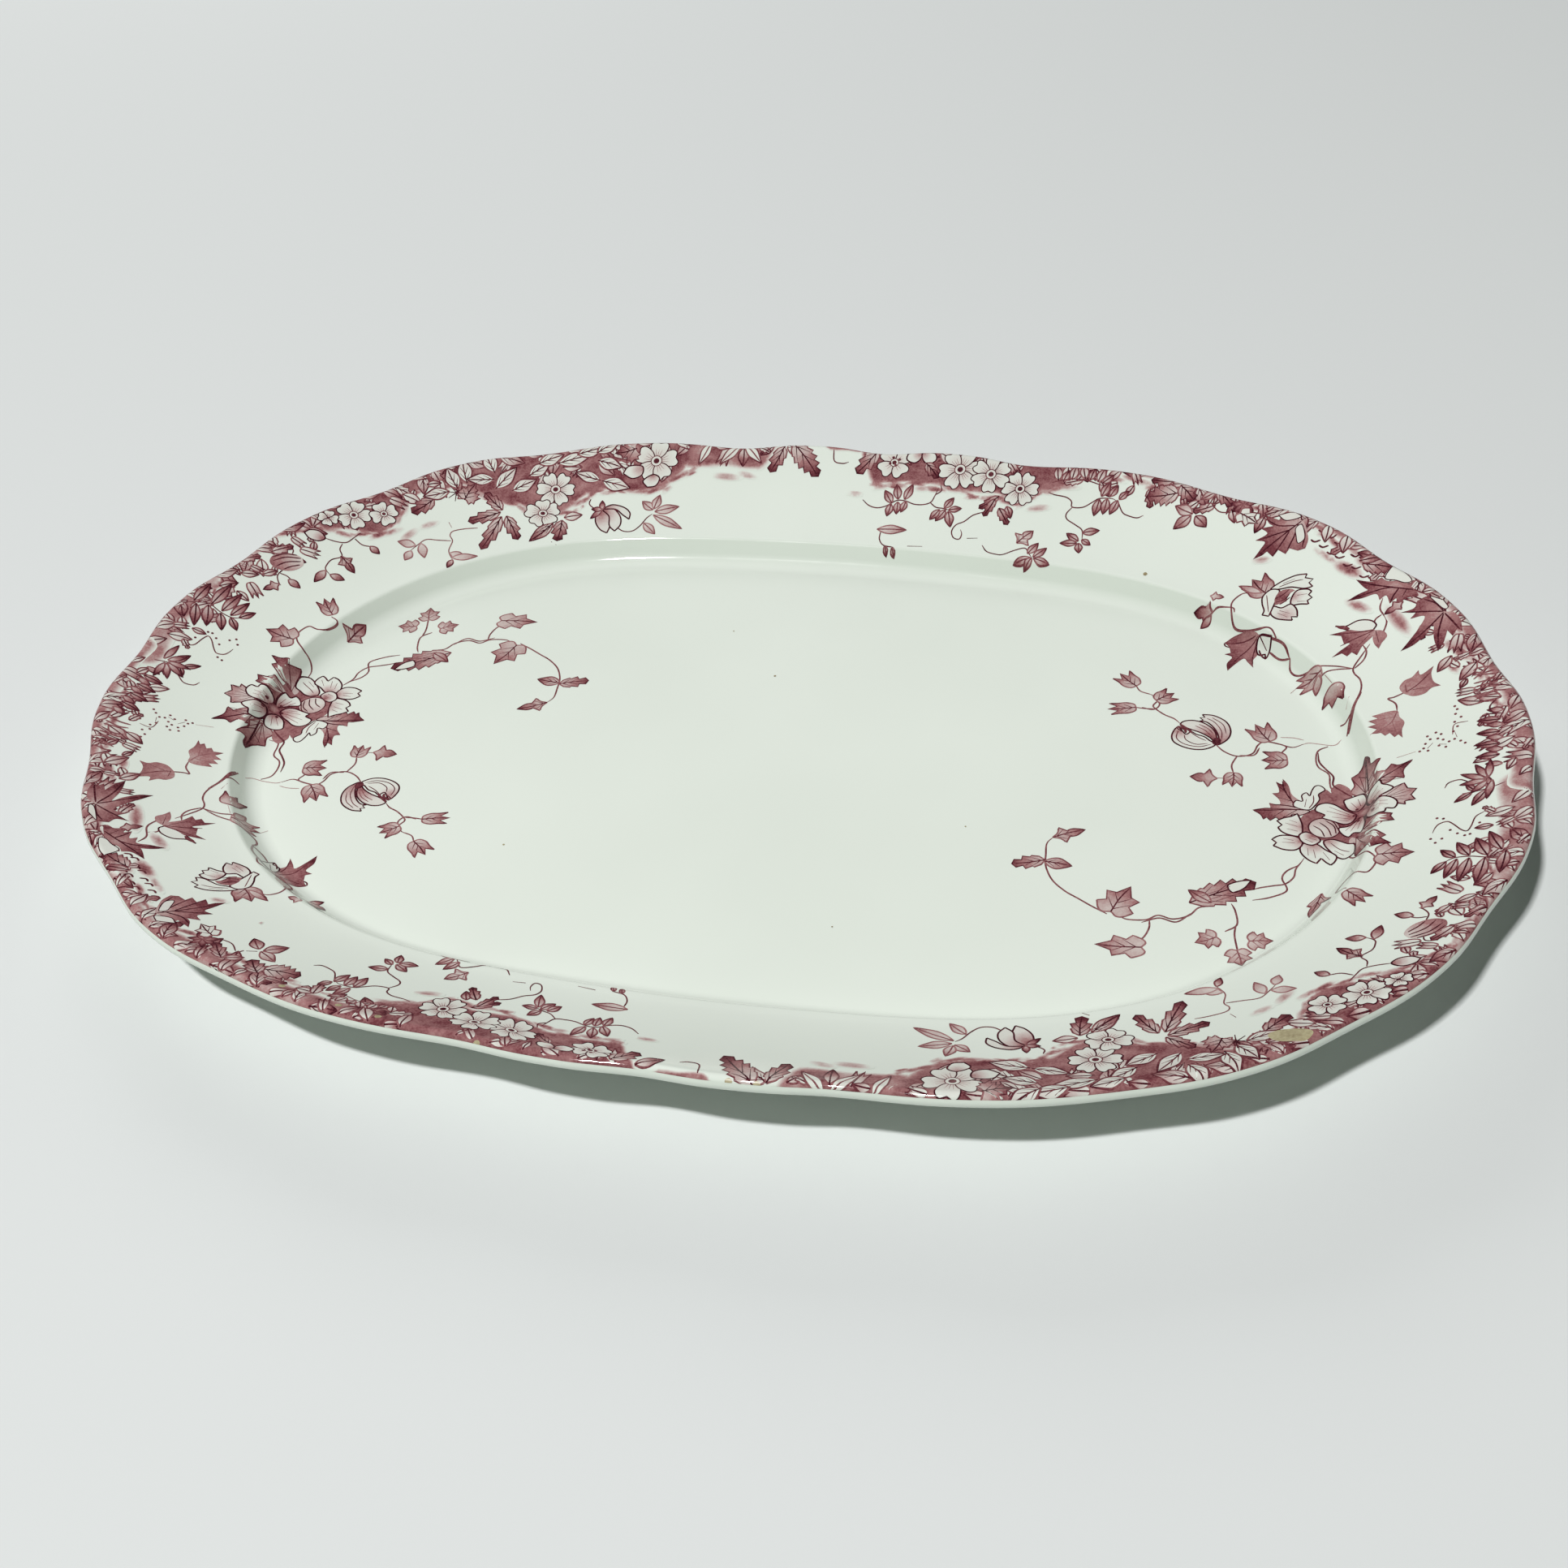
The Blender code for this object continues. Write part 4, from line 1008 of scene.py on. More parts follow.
def border_right(sheet):
    # the far middle: a leaf, a flower and three with ringed eyes
    leaf_to(sheet, SAW3, (-1.6, 141.6), (-7.4, 132.6), 6, 0.72, 0.6, 0.9, 0.5)
    flower(sheet, 4.6, 137.4, 5.6, 40, 4, 1, streaks=2)
    for x, y in ((4, 139.2), (6.2, 138.6), (5.2, 136.4), (3.2, 137)):
        dot(sheet, x, y, 0.5, 0.85)
    petal(sheet, [(13, 142), (9.4, 141.6), (8.6, 138.8), (11.4, 137.6), (13.4, 139.4)], 0.05, 0.5,
        (13, 141, 3, 0.5))
    petal(sheet, [(13.8, 142), (17.6, 141.6), (18.6, 139), (16, 137.4), (13.8, 139.4)], 0.05, 0.5,
        (13.8, 141, 3, 0.5))
    leaf_to(sheet, SAW3, (15.4, 137.8), (20.4, 132.6), 4.2, 0.86, 0, 0.9, 0.6)
    flower(sheet, 48.4, 130, 6.2, 0, 6)
    flower(sheet, 27.3, 136, 7.2, 8, 6)
    flower(sheet, 37.9, 134.8, 6.6, 30, 6)
    lines(sheet, [[(-3.5, 123), (-1, 121), (2, 120.3), (5, 121.3), (8, 123.5), (11, 123.5), (14, 122.5),
        (17, 122.5), (19.5, 123.5), (20.5, 126), (21.2, 129)], [(20.6, 126.4), (22.4, 128), (21.8, 130)],
        [(19.4, 123.4), (21.6, 121.8), (24, 121.5), (26, 121)],
        [(5, 111), (5.2, 108), (7, 105.5), (10.5, 105)], [(15, 105.7), (20, 106)],
        [(38, 121), (34.5, 119.5), (32, 117), (29.5, 115.5), (28.5, 113), (29.5, 110.5), (31.5, 110),
        (32, 112), (31.3, 113.8)], [(34, 110.5), (37.5, 110.8)],
        [(39.5, 108), (41.5, 105.5), (45, 104.5), (47, 104.7), (50, 106.5), (53.5, 107.8), (55, 106),
        (56.5, 103.8)], [(58, 129), (60, 128.3), (64, 127.5), (66, 126), (66.5, 124), (70, 124), (73, 126),
        (75, 127.3), (79, 127.3), (80.5, 126.5)], [(66.5, 123.8), (65, 121.5), (65.5, 119.5),
        (68.5, 117.5), (71, 115.5), (71.5, 112)], [(81, 126.5), (83, 122.5), (85, 121.2), (88, 120.4),
        (90, 121.3)], [(109.6, 123.4), (111.5, 127), (112.3, 130)],
        [(111.3, 124.8), (114, 122), (117.6, 121.4)], [(106.4, 122), (109, 123.3)],
        [(118.6, 127), (119.6, 124)]], 0.42, 0.82)
    for base, tip, wide, tone in (
            ((6.6, 122.4), (3.4, 127), 2.6, 0.6), ((6.4, 122), (5.8, 117.4), 2.4, 0.6),
            ((8.5, 123), (8.8, 118.4), 2.4, 0.6), ((11.2, 123.4), (10.2, 119.2), 2.2, 0.6),
            ((8.4, 124), (7, 129.4), 2.6, 0.6), ((10.6, 124), (12.4, 129.8), 2.6, 0.6),
            ((24.5, 121.6), (27, 125.6), 2.4, 0.62), ((26, 121), (30.2, 121.8), 2.2, 0.62),
            ((25, 121), (22.4, 116.6), 2.6, 0.62), ((23, 121), (20.4, 117), 2.4, 0.62),
            ((26, 120.5), (27.7, 114.6), 2.8, 0.62), ((7.6, 105.2), (8.4, 103), 1.4, 0.6),
            ((10, 104.8), (11, 102.8), 1.4, 0.6), ((3.6, 112), (13.4, 112.4), 3.4, 0.5),
            ((45, 123.4), (47, 119), 2.6, 0.72), ((54.8, 105.6), (57.6, 110), 2.6, 0.6),
            ((56.8, 104.2), (60.6, 108.2), 2.6, 0.6), ((56, 104), (50.8, 101.8), 2.6, 0.6),
            ((56.4, 103.8), (54.4, 100.6), 2.2, 0.6), ((57, 103.8), (62.4, 101.6), 2.6, 0.6),
            ((75.5, 128), (77.8, 133.4), 2.6, 0.66), ((78.3, 128), (80.4, 132), 2.4, 0.66),
            ((75, 127), (74, 121), 2.8, 0.66), ((77.5, 127.3), (76.8, 121.6), 2.8, 0.66),
            ((81, 126.7), (79, 121.6), 2.6, 0.66), ((81.4, 127), (84, 130), 2.2, 0.66),
            ((71.2, 114.6), (76.6, 115.6), 2.6, 0.66), ((70.4, 111.4), (66.2, 114.2), 2.4, 0.66),
            ((70, 110.6), (64.6, 110.4), 2.4, 0.66), ((70.5, 110.6), (71.2, 106.8), 2.4, 0.66),
            ((71.4, 112), (74.4, 110), 2, 0.66), ((105.6, 121.6), (99.8, 124.6), 3.8, 0.5),
            ((105.2, 121), (100.2, 116.2), 3.8, 0.7), ((106.6, 120.8), (110.4, 116.6), 3.8, 0.72)):
        leaf_to(sheet, LENS, base, tip, wide, tone, 0.7, 0.6, 0.55)
    for base, tip, wide in (
            ((42, 127), (36, 122.2), 3), ((40.8, 126), (38, 119.4), 3),
            ((42.6, 122.6), (46.4, 116.6), 3.2)):
        leaf_to(sheet, SAW3, base, tip, wide, 0.84, 0, 0.9, 0.6)
    leaf_to(sheet, TREFOIL, (50.6, 109.6), (55.2, 114.6), 7, 0.4, 0.75, 0.6, 0.6)
    for x, y, angle in ((60.6, 136, 100), (65, 136.4, 80), (69.4, 136.8, 105), (73.6, 135.8, 70)):
        leaf(sheet, LENS, x, y - 2.6, angle, 5.4, 2.8, 0.5, 0.85, 0.7, 0.3)
        leaf(sheet, LENS, x + 1.6, y - 3, angle - 30, 4.4, 2.4, 0.62, 0.85, 0.7, 0.5)
    lines(sheet, [[(58.6, 132.6), (64, 134), (70, 133.6), (76, 131.6)]], 0.4, 0.75)
    leaves(sheet, (
        (SAW, (100.6, 129.4), (90.2, 128), 8.4, 0.72, 0.8, 0.9, 0.4),
        (SAW3, (100.6, 132), (105.4, 126.6), 6, 0.72, 0.8, 0.9, 0.5),
        (SAW3, (98, 133.4), (91, 134), 4, 0.8, 0.6, 0.9, 0.6),
        (SAW3, (112.6, 129.8), (117.8, 123.8), 4.6, 0.75, 0, 0.8, 0.6),
        (LENS, (112, 129.4), (107.6, 126.6), 2.6, 0.5, 0.7, 0.6, 0.6)))
    # dark star, outlined leaf and the big saw-toothed one
    for angle in (10, 60, 115, 170, 215, 265, 320):
        leaf(sheet, LENS, 121.4, 124, angle, 4.2, 1.7, 0.95, 0, 0, 0.8)
    leaf_to(sheet, IVY, (120.6, 121), (126.4, 116.6), 5.6, 0.14, 0.9, 0.8, 0.8)
    sheet.fill([(139.8, 116.4), (136.4, 117.2), (133.6, 118.8, 1), (133, 117.2, 1), (128.4, 119.6, 1),
        (129.8, 116.6), (131.4, 115.2, 1), (127.6, 114.8, 1), (129.8, 112.6), (126.4, 110.4, 1),
        (129.4, 109.6), (128.4, 107.2), (126.4, 103.4, 1), (129, 104.6, 1), (130.4, 106, 1),
        (132.4, 103.8, 1), (133.8, 106.2, 1), (136.2, 104.4, 1), (137.2, 106.4, 1), (139.8, 105.2, 1),
        (142, 105.8, 1), (142.6, 109), (141.8, 112.4), (141, 115)],
        from_point((139.6, 114.6), 15, 0.3, 0.9, 1.1))
    lines(sheet, [[(139.9, 116), (134.6, 111.4), (130, 107), (127, 103.8)],
        [(138, 114.6), (133, 115.2), (129.4, 117.6)], [(136.6, 113.2), (131.6, 111.8), (127.8, 110.6)],
        [(139, 115), (138.2, 110.8), (136.6, 106)], [(140, 115), (141.4, 111), (141, 106.4)],
        [(136.6, 112.8), (134.6, 108.6), (132.6, 104.8)], [(140, 116.2), (143, 118.6)]], 0.5, 0.95)
    petal(sheet, [(138.4, 113.6), (138.8, 110.6), (139.6, 108), (141.4, 109.4), (141, 112.6),
        (140, 114.8)], 0.08, 0.3)
    petal(sheet, [(135.2, 116.8), (132.6, 119, 1), (137.8, 120, 1), (139.6, 117.6)], 0.08, 0.36)
    # the dark leaves down the right-hand border
    for base, tip, wide, kind in (
            ((159.6, 97.4), (169.8, 93.6), 6.4, SAW), ((158.6, 98.6), (166, 99), 3, LENS),
            ((178.6, 86.4), (175.2, 91), 3, LENS)):
        leaf_to(sheet, kind, base, tip, wide, 0.88, 0.5, 0.92, 0.5)
    sheet.fill([(175.2, 84.4), (171.8, 88.2), (167.6, 89.2), (165.6, 91, 1), (163, 90), (158.2, 91.6, 1),
        (160.6, 88.4), (162, 87, 1), (159, 85.8), (156, 83.8, 1), (160.4, 84.2), (164.4, 85),
        (165.6, 82.4, 1), (167.4, 83.8), (168.6, 80.4, 1), (170.4, 82), (170.2, 78.8, 1), (173.4, 81.4),
        (176.6, 81.4)], from_point((169.4, 87), 12, 0.4, 0.92, 1.1))
    lines(sheet, [[(175, 84.2), (168, 86.6), (161.6, 85.6), (156.6, 84)],
        [(170, 86.2), (163.6, 88.6), (159, 91)], [(171, 86), (169.4, 83), (168.8, 80.8)],
        [(173.2, 85), (172, 82)], [(175.6, 84.6), (178.2, 88), (180, 92)]], 0.5, 0.95)
    petal(sheet, [(166.6, 90.6), (168.6, 95, 1), (171.6, 92.6), (174.4, 88), (172.6, 87.4), (169.8, 89)],
        0.05, 0.34)
    leaf_to(sheet, TREFOIL, (172.4, 80.4), (167.4, 76.6), 4.4, 0.8)
    sheet.fill([(184.2, 73.6), (182.6, 77.4), (179.6, 80.6), (176.4, 79.6, 1), (175.6, 77),
        (171.8, 76.2, 1), (176.4, 75.4, 1), (174.8, 73.2, 1), (178.8, 73.2), (177.4, 69), (175.4, 65.4),
        (172.8, 61.2, 1), (176.6, 63), (179.8, 66.6), (181.4, 69.6), (181.8, 64), (183.2, 58.6, 1),
        (184.6, 61.6), (185.4, 66, 1), (187, 63.4, 1), (188.2, 66, 1), (189.6, 64.4, 1), (188.8, 69.2),
        (186.8, 72.6)], from_point((183.8, 73), 14, 0.36, 0.92, 1.1))
    lines(sheet, [[(184, 73.2), (180.4, 68.8), (176.8, 65), (173.4, 61.8)],
        [(184, 72.8), (183, 66), (183.2, 59.8)], [(184, 73.6), (179.4, 74.8), (173.4, 76)],
        [(184.4, 72.8), (187, 68.6), (188.8, 65.4)], [(184, 73.8), (181.6, 77.4), (178.4, 79.6)],
        [(184.2, 73.6), (186.6, 77)]], 0.52, 0.95)
    petal(sheet, [(180, 80.4), (183.8, 78, 1), (185.2, 75), (184, 74.6), (181.4, 78)], 0.08, 0.32)
    # ferns and hatching on the right
    for y in (26.4, 21.4, 16.6, 12):
        leaf(sheet, LENS, 200.6, y, 178 - y * 0.3, 6, 2.6, 0.9, 0, 0.9, 0.6)
    for y in (30, 24, 18.8, 14, 8):
        leaf(sheet, LENS, 201.4, y, 165, 4.4, 2, 0.7, 0, 0, 0.7)
    lines(sheet, [[(199.4, 34.8), (197.8, 32.4), (198.6, 29.8), (201.4, 28.4)],
        [(195.6, 28.6), (197.6, 29.4), (199.6, 28.8)]], 0.5, 0.88)
    for base, tip in (
            ((197.4, 3), (191, 6.6)), ((197.4, 2.6), (190.8, 2.2)), ((197.6, 3.4), (194.6, 9.6)),
            ((198, 3.4), (198.4, 10.6)), ((197.8, 2), (193.6, -2)), ((199, 2), (197.6, -5.6))):
        leaf_to(sheet, LENS, base, tip, 1.9, 0.8, 0, 0, 0.5)
    hatch = []
    for step in range(9):
        y = 35 + 1.7 * step
        hatch.append([(200.6 - 0.16 * (y - 35), y), (196.6 - 0.16 * (y - 35),
            y + 0.7 * math.sin(2.4 * step)), (193.8 - 0.06 * (y - 35), y - 0.5)])
    lines(sheet, hatch, 0.62, 0.66)


# ---------------------------------------------------------------- laying the print on the glaze
PRINT_LIFT = 0.00005
LIFT_STEP = 0.00001
LEAST_INSET = 0.0005
SLOPE_STEP = 0.00012
LEAST_AREA = 1e-11
LEAST_INK = 0.004
SAME_POINT = 1e-4
COARSE, FINE, FINEST = 1.6, 0.8, 0.5


def upper_profile():
    """(insets, heights) of the upper face, from the lip inwards."""
    lip = lip_points()
    outermost = min(range(len(lip)), key=lambda i: lip[i][0])
    points = sorted(upper_section() + lip[:outermost + 1])
    return np.array([p[0] for p in points]), np.array([p[1] for p in points])


PROFILE = upper_profile()


def upper_height(x, y):
    inset, angle = inset_at(x, y)
    return np.interp(inset, *PROFILE) - notch_drop(angle, inset)


def lay_on_glaze(flat, lift):
    """Points and normals, in metres, of flat points in millimetres laid a little above the upper face."""
    x, y = (flat * MM).T
    inset, angle = inset_at(x, y)
    outermost = plan_radius(angle, np.full_like(inset, LEAST_INSET))
    radius = np.where(inset < LEAST_INSET, outermost, np.hypot(x, y))
    x, y = radius * np.cos(angle), radius * np.sin(angle)
    slope_x = (upper_height(x + SLOPE_STEP, y) - upper_height(x - SLOPE_STEP, y)) / (2 * SLOPE_STEP)
    slope_y = (upper_height(x, y + SLOPE_STEP) - upper_height(x, y - SLOPE_STEP)) / (2 * SLOPE_STEP)
    normals = np.stack([-slope_x, -slope_y, np.ones_like(x)], axis=1)
    normals /= np.linalg.norm(normals, axis=1)[:, None]
    points = np.stack([x, y, upper_height(x, y)], axis=1) + normals * lift
    return points, normals


def filling_points(low, high):
    """Points over a rectangle, closer where the platter's face curves, so that the print follows it."""
    found = []
    for spacing, first, last in ((COARSE, -2, np.inf), (FINE, 37, 55), (FINEST, -0.5, 3.6)):
        rows = np.arange(low[1], high[1], spacing * 0.87)
        columns = np.arange(low[0], high[0], spacing)
        x, y = np.meshgrid(columns, rows)
        x = x + np.where(np.arange(len(rows)) % 2, 0.5 * spacing, 0.0)[:, None] + 0.13 * np.sin(3.1 * y)
        inset = inset_at(x.ravel() * MM, y.ravel() * MM)[0] / MM
        keep = (inset > first) & (inset < last)
        found.append(np.stack([x.ravel()[keep], y.ravel()[keep]], axis=1))
    return np.vstack(found)


def joined(sheet):
    """The sheet as triangles without overlaps: flat points, triangles and the ink at their corners."""
    points, edges = [], []
    for cells, _, _ in sheet.shapes:
        for cell in cells:
            first = len(points)
            points += cell.tolist()
            edges += [(first + i, first + (i + 1) % len(cell)) for i in range(len(cell))]
    points = np.array(points)
    points = np.vstack([points, filling_points(points.min(0), points.max(0))])
    corners = [Vector(p) for p in points.tolist()]
    verts, _, triangles, _, _, _ = delaunay_2d_cdt(corners, edges, [], 0, SAME_POINT, False)
    flat = np.array([tuple(p) for p in verts])
    triangles = np.array(triangles)
    middles = flat[triangles].mean(axis=1)
    order = np.argsort(middles[:, 0])
    triangles, middles = triangles[order], middles[order]
    ink = np.zeros((len(triangles), 3))
    for cells, strength, cover in sheet.shapes:
        found = set()
        for cell in cells:
            low, high = cell.min(0), cell.max(0)
            near = np.arange(*np.searchsorted(middles[:, 0], (low[0], high[0])))
            near = near[(middles[near, 1] > low[1]) & (middles[near, 1] < high[1])]
            found.update(near[inside(middles[near], cell)].tolist())
        found = np.array(sorted(found), int)
        if not len(found):
            continue
        corners = flat[triangles[found]].reshape(-1, 2)
        value = strength(corners) if callable(strength) else np.full(len(corners), strength)
        value = np.clip(value, 0.0, 1.0).reshape(-1, 3)
        ink[found] = value if cover else np.maximum(ink[found], value)
    return flat, triangles, ink


def lay_print(name, sheet, material, layer):
    """One piece of the print: the sheet, joined in the flat and laid on the glaze."""
    flat, triangles, ink = joined(sheet)
    points, normals = lay_on_glaze(flat, PRINT_LIFT + layer * LIFT_STEP)
    corners = points[triangles]
    normal = np.cross(corners[:, 1] - corners[:, 0], corners[:, 2] - corners[:, 0])
    keep = (0.5 * np.linalg.norm(normal, axis=1) > LEAST_AREA) & (ink.max(axis=1) > LEAST_INK)
    triangles, ink = triangles[keep], ink[keep]
    used, triangles = np.unique(triangles, return_inverse=True)
    triangles = triangles.reshape(-1, 3)
    mesh = bpy.data.meshes.new(name)
    mesh.from_pydata(points[used].tolist(), [], triangles.tolist())
    mesh.shade_smooth()
    mesh.normals_split_custom_set_from_vertices(normals[used].tolist())
    mesh.attributes.new("ink", "FLOAT", "CORNER").data.foreach_set("value", ink.ravel().astype(np.float32))
    piece = bpy.data.objects.new(name, mesh)
    bpy.context.collection.objects.link(piece)
    dress(piece, material)


# ---------------------------------------------------------------- materials
class Nodes:
    """Adds nodes to a material and links them, so that each material reads as a short list."""

    def __init__(self, name):
        self.material = bpy.data.materials.new(name)
        self.material.use_nodes = True
        self.tree = self.material.node_tree
        self.shader = self.tree.nodes["Principled BSDF"]

    def add(self, kind, settings=(), **inputs):
        node = self.tree.nodes.new(kind)
        for key, value in dict(settings).items():
            setattr(node, key, value)
        for key, value in inputs.items():
            self.set(node, key, value)
        return node

    def set(self, node, key, value):
        names = [socket.identifier for socket in node.inputs] + [socket.name for socket in node.inputs]
        index = names.index(key.replace("_", " ")) % len(node.inputs)
        self.put(node.inputs[index], value)

    def put(self, socket, value):
        """Links an input to an output, or gives it a fixed value."""
        if isinstance(value, bpy.types.NodeSocket):
            self.tree.links.new(value, socket)
        else:
            socket.default_value = value

    def noise(self, scale, detail=2.0):
        where = self.tree.nodes.get("Texture Coordinate") or self.add("ShaderNodeTexCoord")
        return self.add("ShaderNodeTexNoise", Vector=where.outputs["Object"], Scale=scale, Detail=detail)

    def ramp(self, factor, stops):
        node = self.add("ShaderNodeValToRGB", Fac=factor)
        elements = node.color_ramp.elements
        while len(elements) < len(stops):
            elements.new(0.5)
        for element, (place, colour) in zip(elements, stops):
            element.position = place
            element.color = (*colour, 1.0)
        return node.outputs["Color"]

    def maths(self, operation, first, second):
        node = self.add("ShaderNodeMath", {"operation": operation})
        self.put(node.inputs[0], first)
        self.put(node.inputs[1], second)
        return node.outputs[0]

    def spread(self, value, low, high, first, last):
        """A value between two limits, mapped onto another span."""
        node = self.add("ShaderNodeMapRange", Value=value)
        for key, limit in (("From Min", low), ("From Max", high), ("To Min", first), ("To Max", last)):
            node.inputs[key].default_value = limit
        return node.outputs[0]

    def mix(self, blend, factor, first, second):
        node = self.add("ShaderNodeMix", {"data_type": "RGBA", "blend_type": blend})
        for index, value in ((0, factor), (6, first), (7, second)):
            self.put(node.inputs[index], value)
        return node.outputs[2]


GLAZE_LIGHT = (0.865, 0.925, 0.840)
GLAZE_DEEP = (0.830, 0.890, 0.805)
# Painted shade: a grey-green tint laid fully on faces steeper than STEEP and fading out towards LEVEL.
STEEP_SHADE_TINT = (0.865, 0.885, 0.865)
STEEP, LEVEL = 0.60, 0.93
GLOSS_ROUGHNESS = (0.055, 0.095)
STAIN_ROUGHNESS = 0.35
GLAZE_IOR = 1.5
RIPPLE_HEIGHT = 0.0004
INK_STOPS = (
    (0.00, (1.0, 1.0, 1.0)),
    (0.20, (0.80, 0.64, 0.66)),
    (0.45, (0.50, 0.235, 0.255)),
    (0.70, (0.235, 0.062, 0.080)),
    (0.90, (0.105, 0.018, 0.030)),
    (1.00, (0.062, 0.008, 0.016)),
)
STAIN_STOPS = ((0.2, (0.62, 0.60, 0.42)), (0.6, (0.50, 0.45, 0.27)), (1.0, (0.20, 0.13, 0.07)))


def glazed_material(name, printed=False):
    """Clear glossy glaze over off-white clay, with painted shade on its steep faces. A printed one is tinted
    by the ink at each point.
    """
    nodes = Nodes(name)
    broad = nodes.noise(9.0, 3.0).outputs["Fac"]
    colour = nodes.ramp(broad, ((0.35, GLAZE_LIGHT), (0.65, GLAZE_DEEP)))
    # Painted shade: the wall of the well, the lip's under face and other steep faces are darkened by the
    # tint.
    normal = nodes.tree.nodes["Texture Coordinate"].outputs["Normal"]
    facing = nodes.add("ShaderNodeSeparateXYZ", Vector=normal)
    steep_shade = nodes.spread(facing.outputs["Z"], STEEP, LEVEL, 1.0, 0.0)
    colour = nodes.mix("MULTIPLY", steep_shade, colour, (*STEEP_SHADE_TINT, 1.0))
    if printed:
        ink = nodes.add("ShaderNodeAttribute", {"attribute_name": "ink"}).outputs["Fac"]
        patchy = nodes.spread(nodes.noise(420.0, 3.0).outputs["Fac"], 0.3, 0.7, 0.86, 1.10)
        stipple = nodes.spread(nodes.noise(1700.0, 1.0).outputs["Fac"], 0.35, 0.65, 0.90, 1.06)
        ink = nodes.maths("MULTIPLY", nodes.maths("MULTIPLY", ink, patchy), stipple)
        colour = nodes.mix("MULTIPLY", 1.0, colour, nodes.ramp(ink, INK_STOPS))
    ripple = nodes.maths("MULTIPLY", nodes.noise(140.0, 2.0).outputs["Fac"], 0.10)
    swell = nodes.maths("MULTIPLY", nodes.noise(26.0, 2.0).outputs["Fac"], 0.9)
    height = nodes.maths("ADD", ripple, swell)
    bump = nodes.add("ShaderNodeBump", Strength=0.35, Distance=RIPPLE_HEIGHT, Height=height)
    roughness = nodes.spread(nodes.noise(60.0, 4.0).outputs["Fac"], 0.3, 0.7, *GLOSS_ROUGHNESS)
    nodes.set(nodes.shader, "Base Color", colour)
    nodes.set(nodes.shader, "Roughness", roughness)
    nodes.set(nodes.shader, "Normal", bump.outputs[0])
    nodes.shader.inputs["IOR"].default_value = GLAZE_IOR
    return nodes.material


def stain_material():
    """Glaze browned where it is worn or has been mended."""
    nodes = Nodes("stained_glaze")
    depth = nodes.add("ShaderNodeAttribute", {"attribute_name": "ink"}).outputs["Fac"]
    patchy = nodes.spread(nodes.noise(900.0, 3.0).outputs["Fac"], 0.3, 0.7, 0.8, 1.15)
    colour = nodes.ramp(nodes.maths("MULTIPLY", depth, patchy), STAIN_STOPS)
    nodes.set(nodes.shader, "Base Color", colour)
    nodes.shader.inputs["Roughness"].default_value = STAIN_ROUGHNESS
    nodes.shader.inputs["IOR"].default_value = GLAZE_IOR
    return nodes.material


def dress(piece, material):
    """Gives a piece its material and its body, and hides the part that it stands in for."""
    piece.data.materials.append(material)
    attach(piece, "root")
    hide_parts("platter")


# ---------------------------------------------------------------- stage, light and camera
FLOOR_SIZE = 12.0
FLOOR_COLOUR = (0.775, 0.80, 0.79, 1.0)
SKY_COLOUR = (0.93, 1.0, 0.97, 1.0)
SKY_STRENGTH = 0.04
KEY_PLACE = (-0.35, -1.33, 2.70)
KEY_TARGET = (0.0, 0.0, 0.0)
KEY_SIZE = (0.22, 0.14)
KEY_POWER = 77.0
BACK_PLACE = (-1.0, 1.8, 0.9)
BACK_TARGET = (-0.9, 1.2, 0.0)
BACK_SIZE = (1.2, 0.8)
BACK_POWER = 16.0
CAMERA_TARGET = Vector((0.0001, -0.0038, 0.0))
CAMERA_DISTANCE = 0.6504
CAMERA_AZIMUTH = math.radians(18.47)
CAMERA_ELEVATION = math.radians(39.81)
CAMERA_ROLL = math.radians(-6.41)
CAMERA_LENS = 50.31


def make_floor():
    """A plain pale sheet that runs on behind the platter."""
    half = FLOOR_SIZE / 2
    mesh = bpy.data.meshes.new("floor")
    corners = [(-half, -half, 0.0), (half, -half, 0.0), (half, half, 0.0), (-half, half, 0.0)]
    mesh.from_pydata(corners, [], [(0, 1, 2, 3)])
    floor = bpy.data.objects.new("floor", mesh)
    bpy.context.collection.objects.link(floor)
    material = bpy.data.materials.new("floor_paper")
    material.use_nodes = True
    shader = material.node_tree.nodes["Principled BSDF"]
    shader.inputs["Base Color"].default_value = FLOOR_COLOUR
    shader.inputs["Roughness"].default_value = 0.9
    shader.inputs["Specular IOR Level"].default_value = 0.1
    mesh.materials.append(material)


def make_world():
    """A weak even sky."""
    world = bpy.data.worlds.new("room")
    world.use_nodes = True
    background = world.node_tree.nodes["Background"]
    background.inputs["Color"].default_value = SKY_COLOUR
    background.inputs["Strength"].default_value = SKY_STRENGTH
    bpy.context.scene.world = world


def make_area(name, place, target, size, power):
    """A rectangular light at a place, facing a target."""
    lamp = bpy.data.lights.new(name, "AREA")
    lamp.shape = "RECTANGLE"
    lamp.size, lamp.size_y = size
    lamp.energy = power
    light = bpy.data.objects.new(name, lamp)
    light.location = place
    light.rotation_euler = (Vector(target) - Vector(place)).to_track_quat("-Z", "Y").to_euler()
    bpy.context.collection.objects.link(light)
    return light


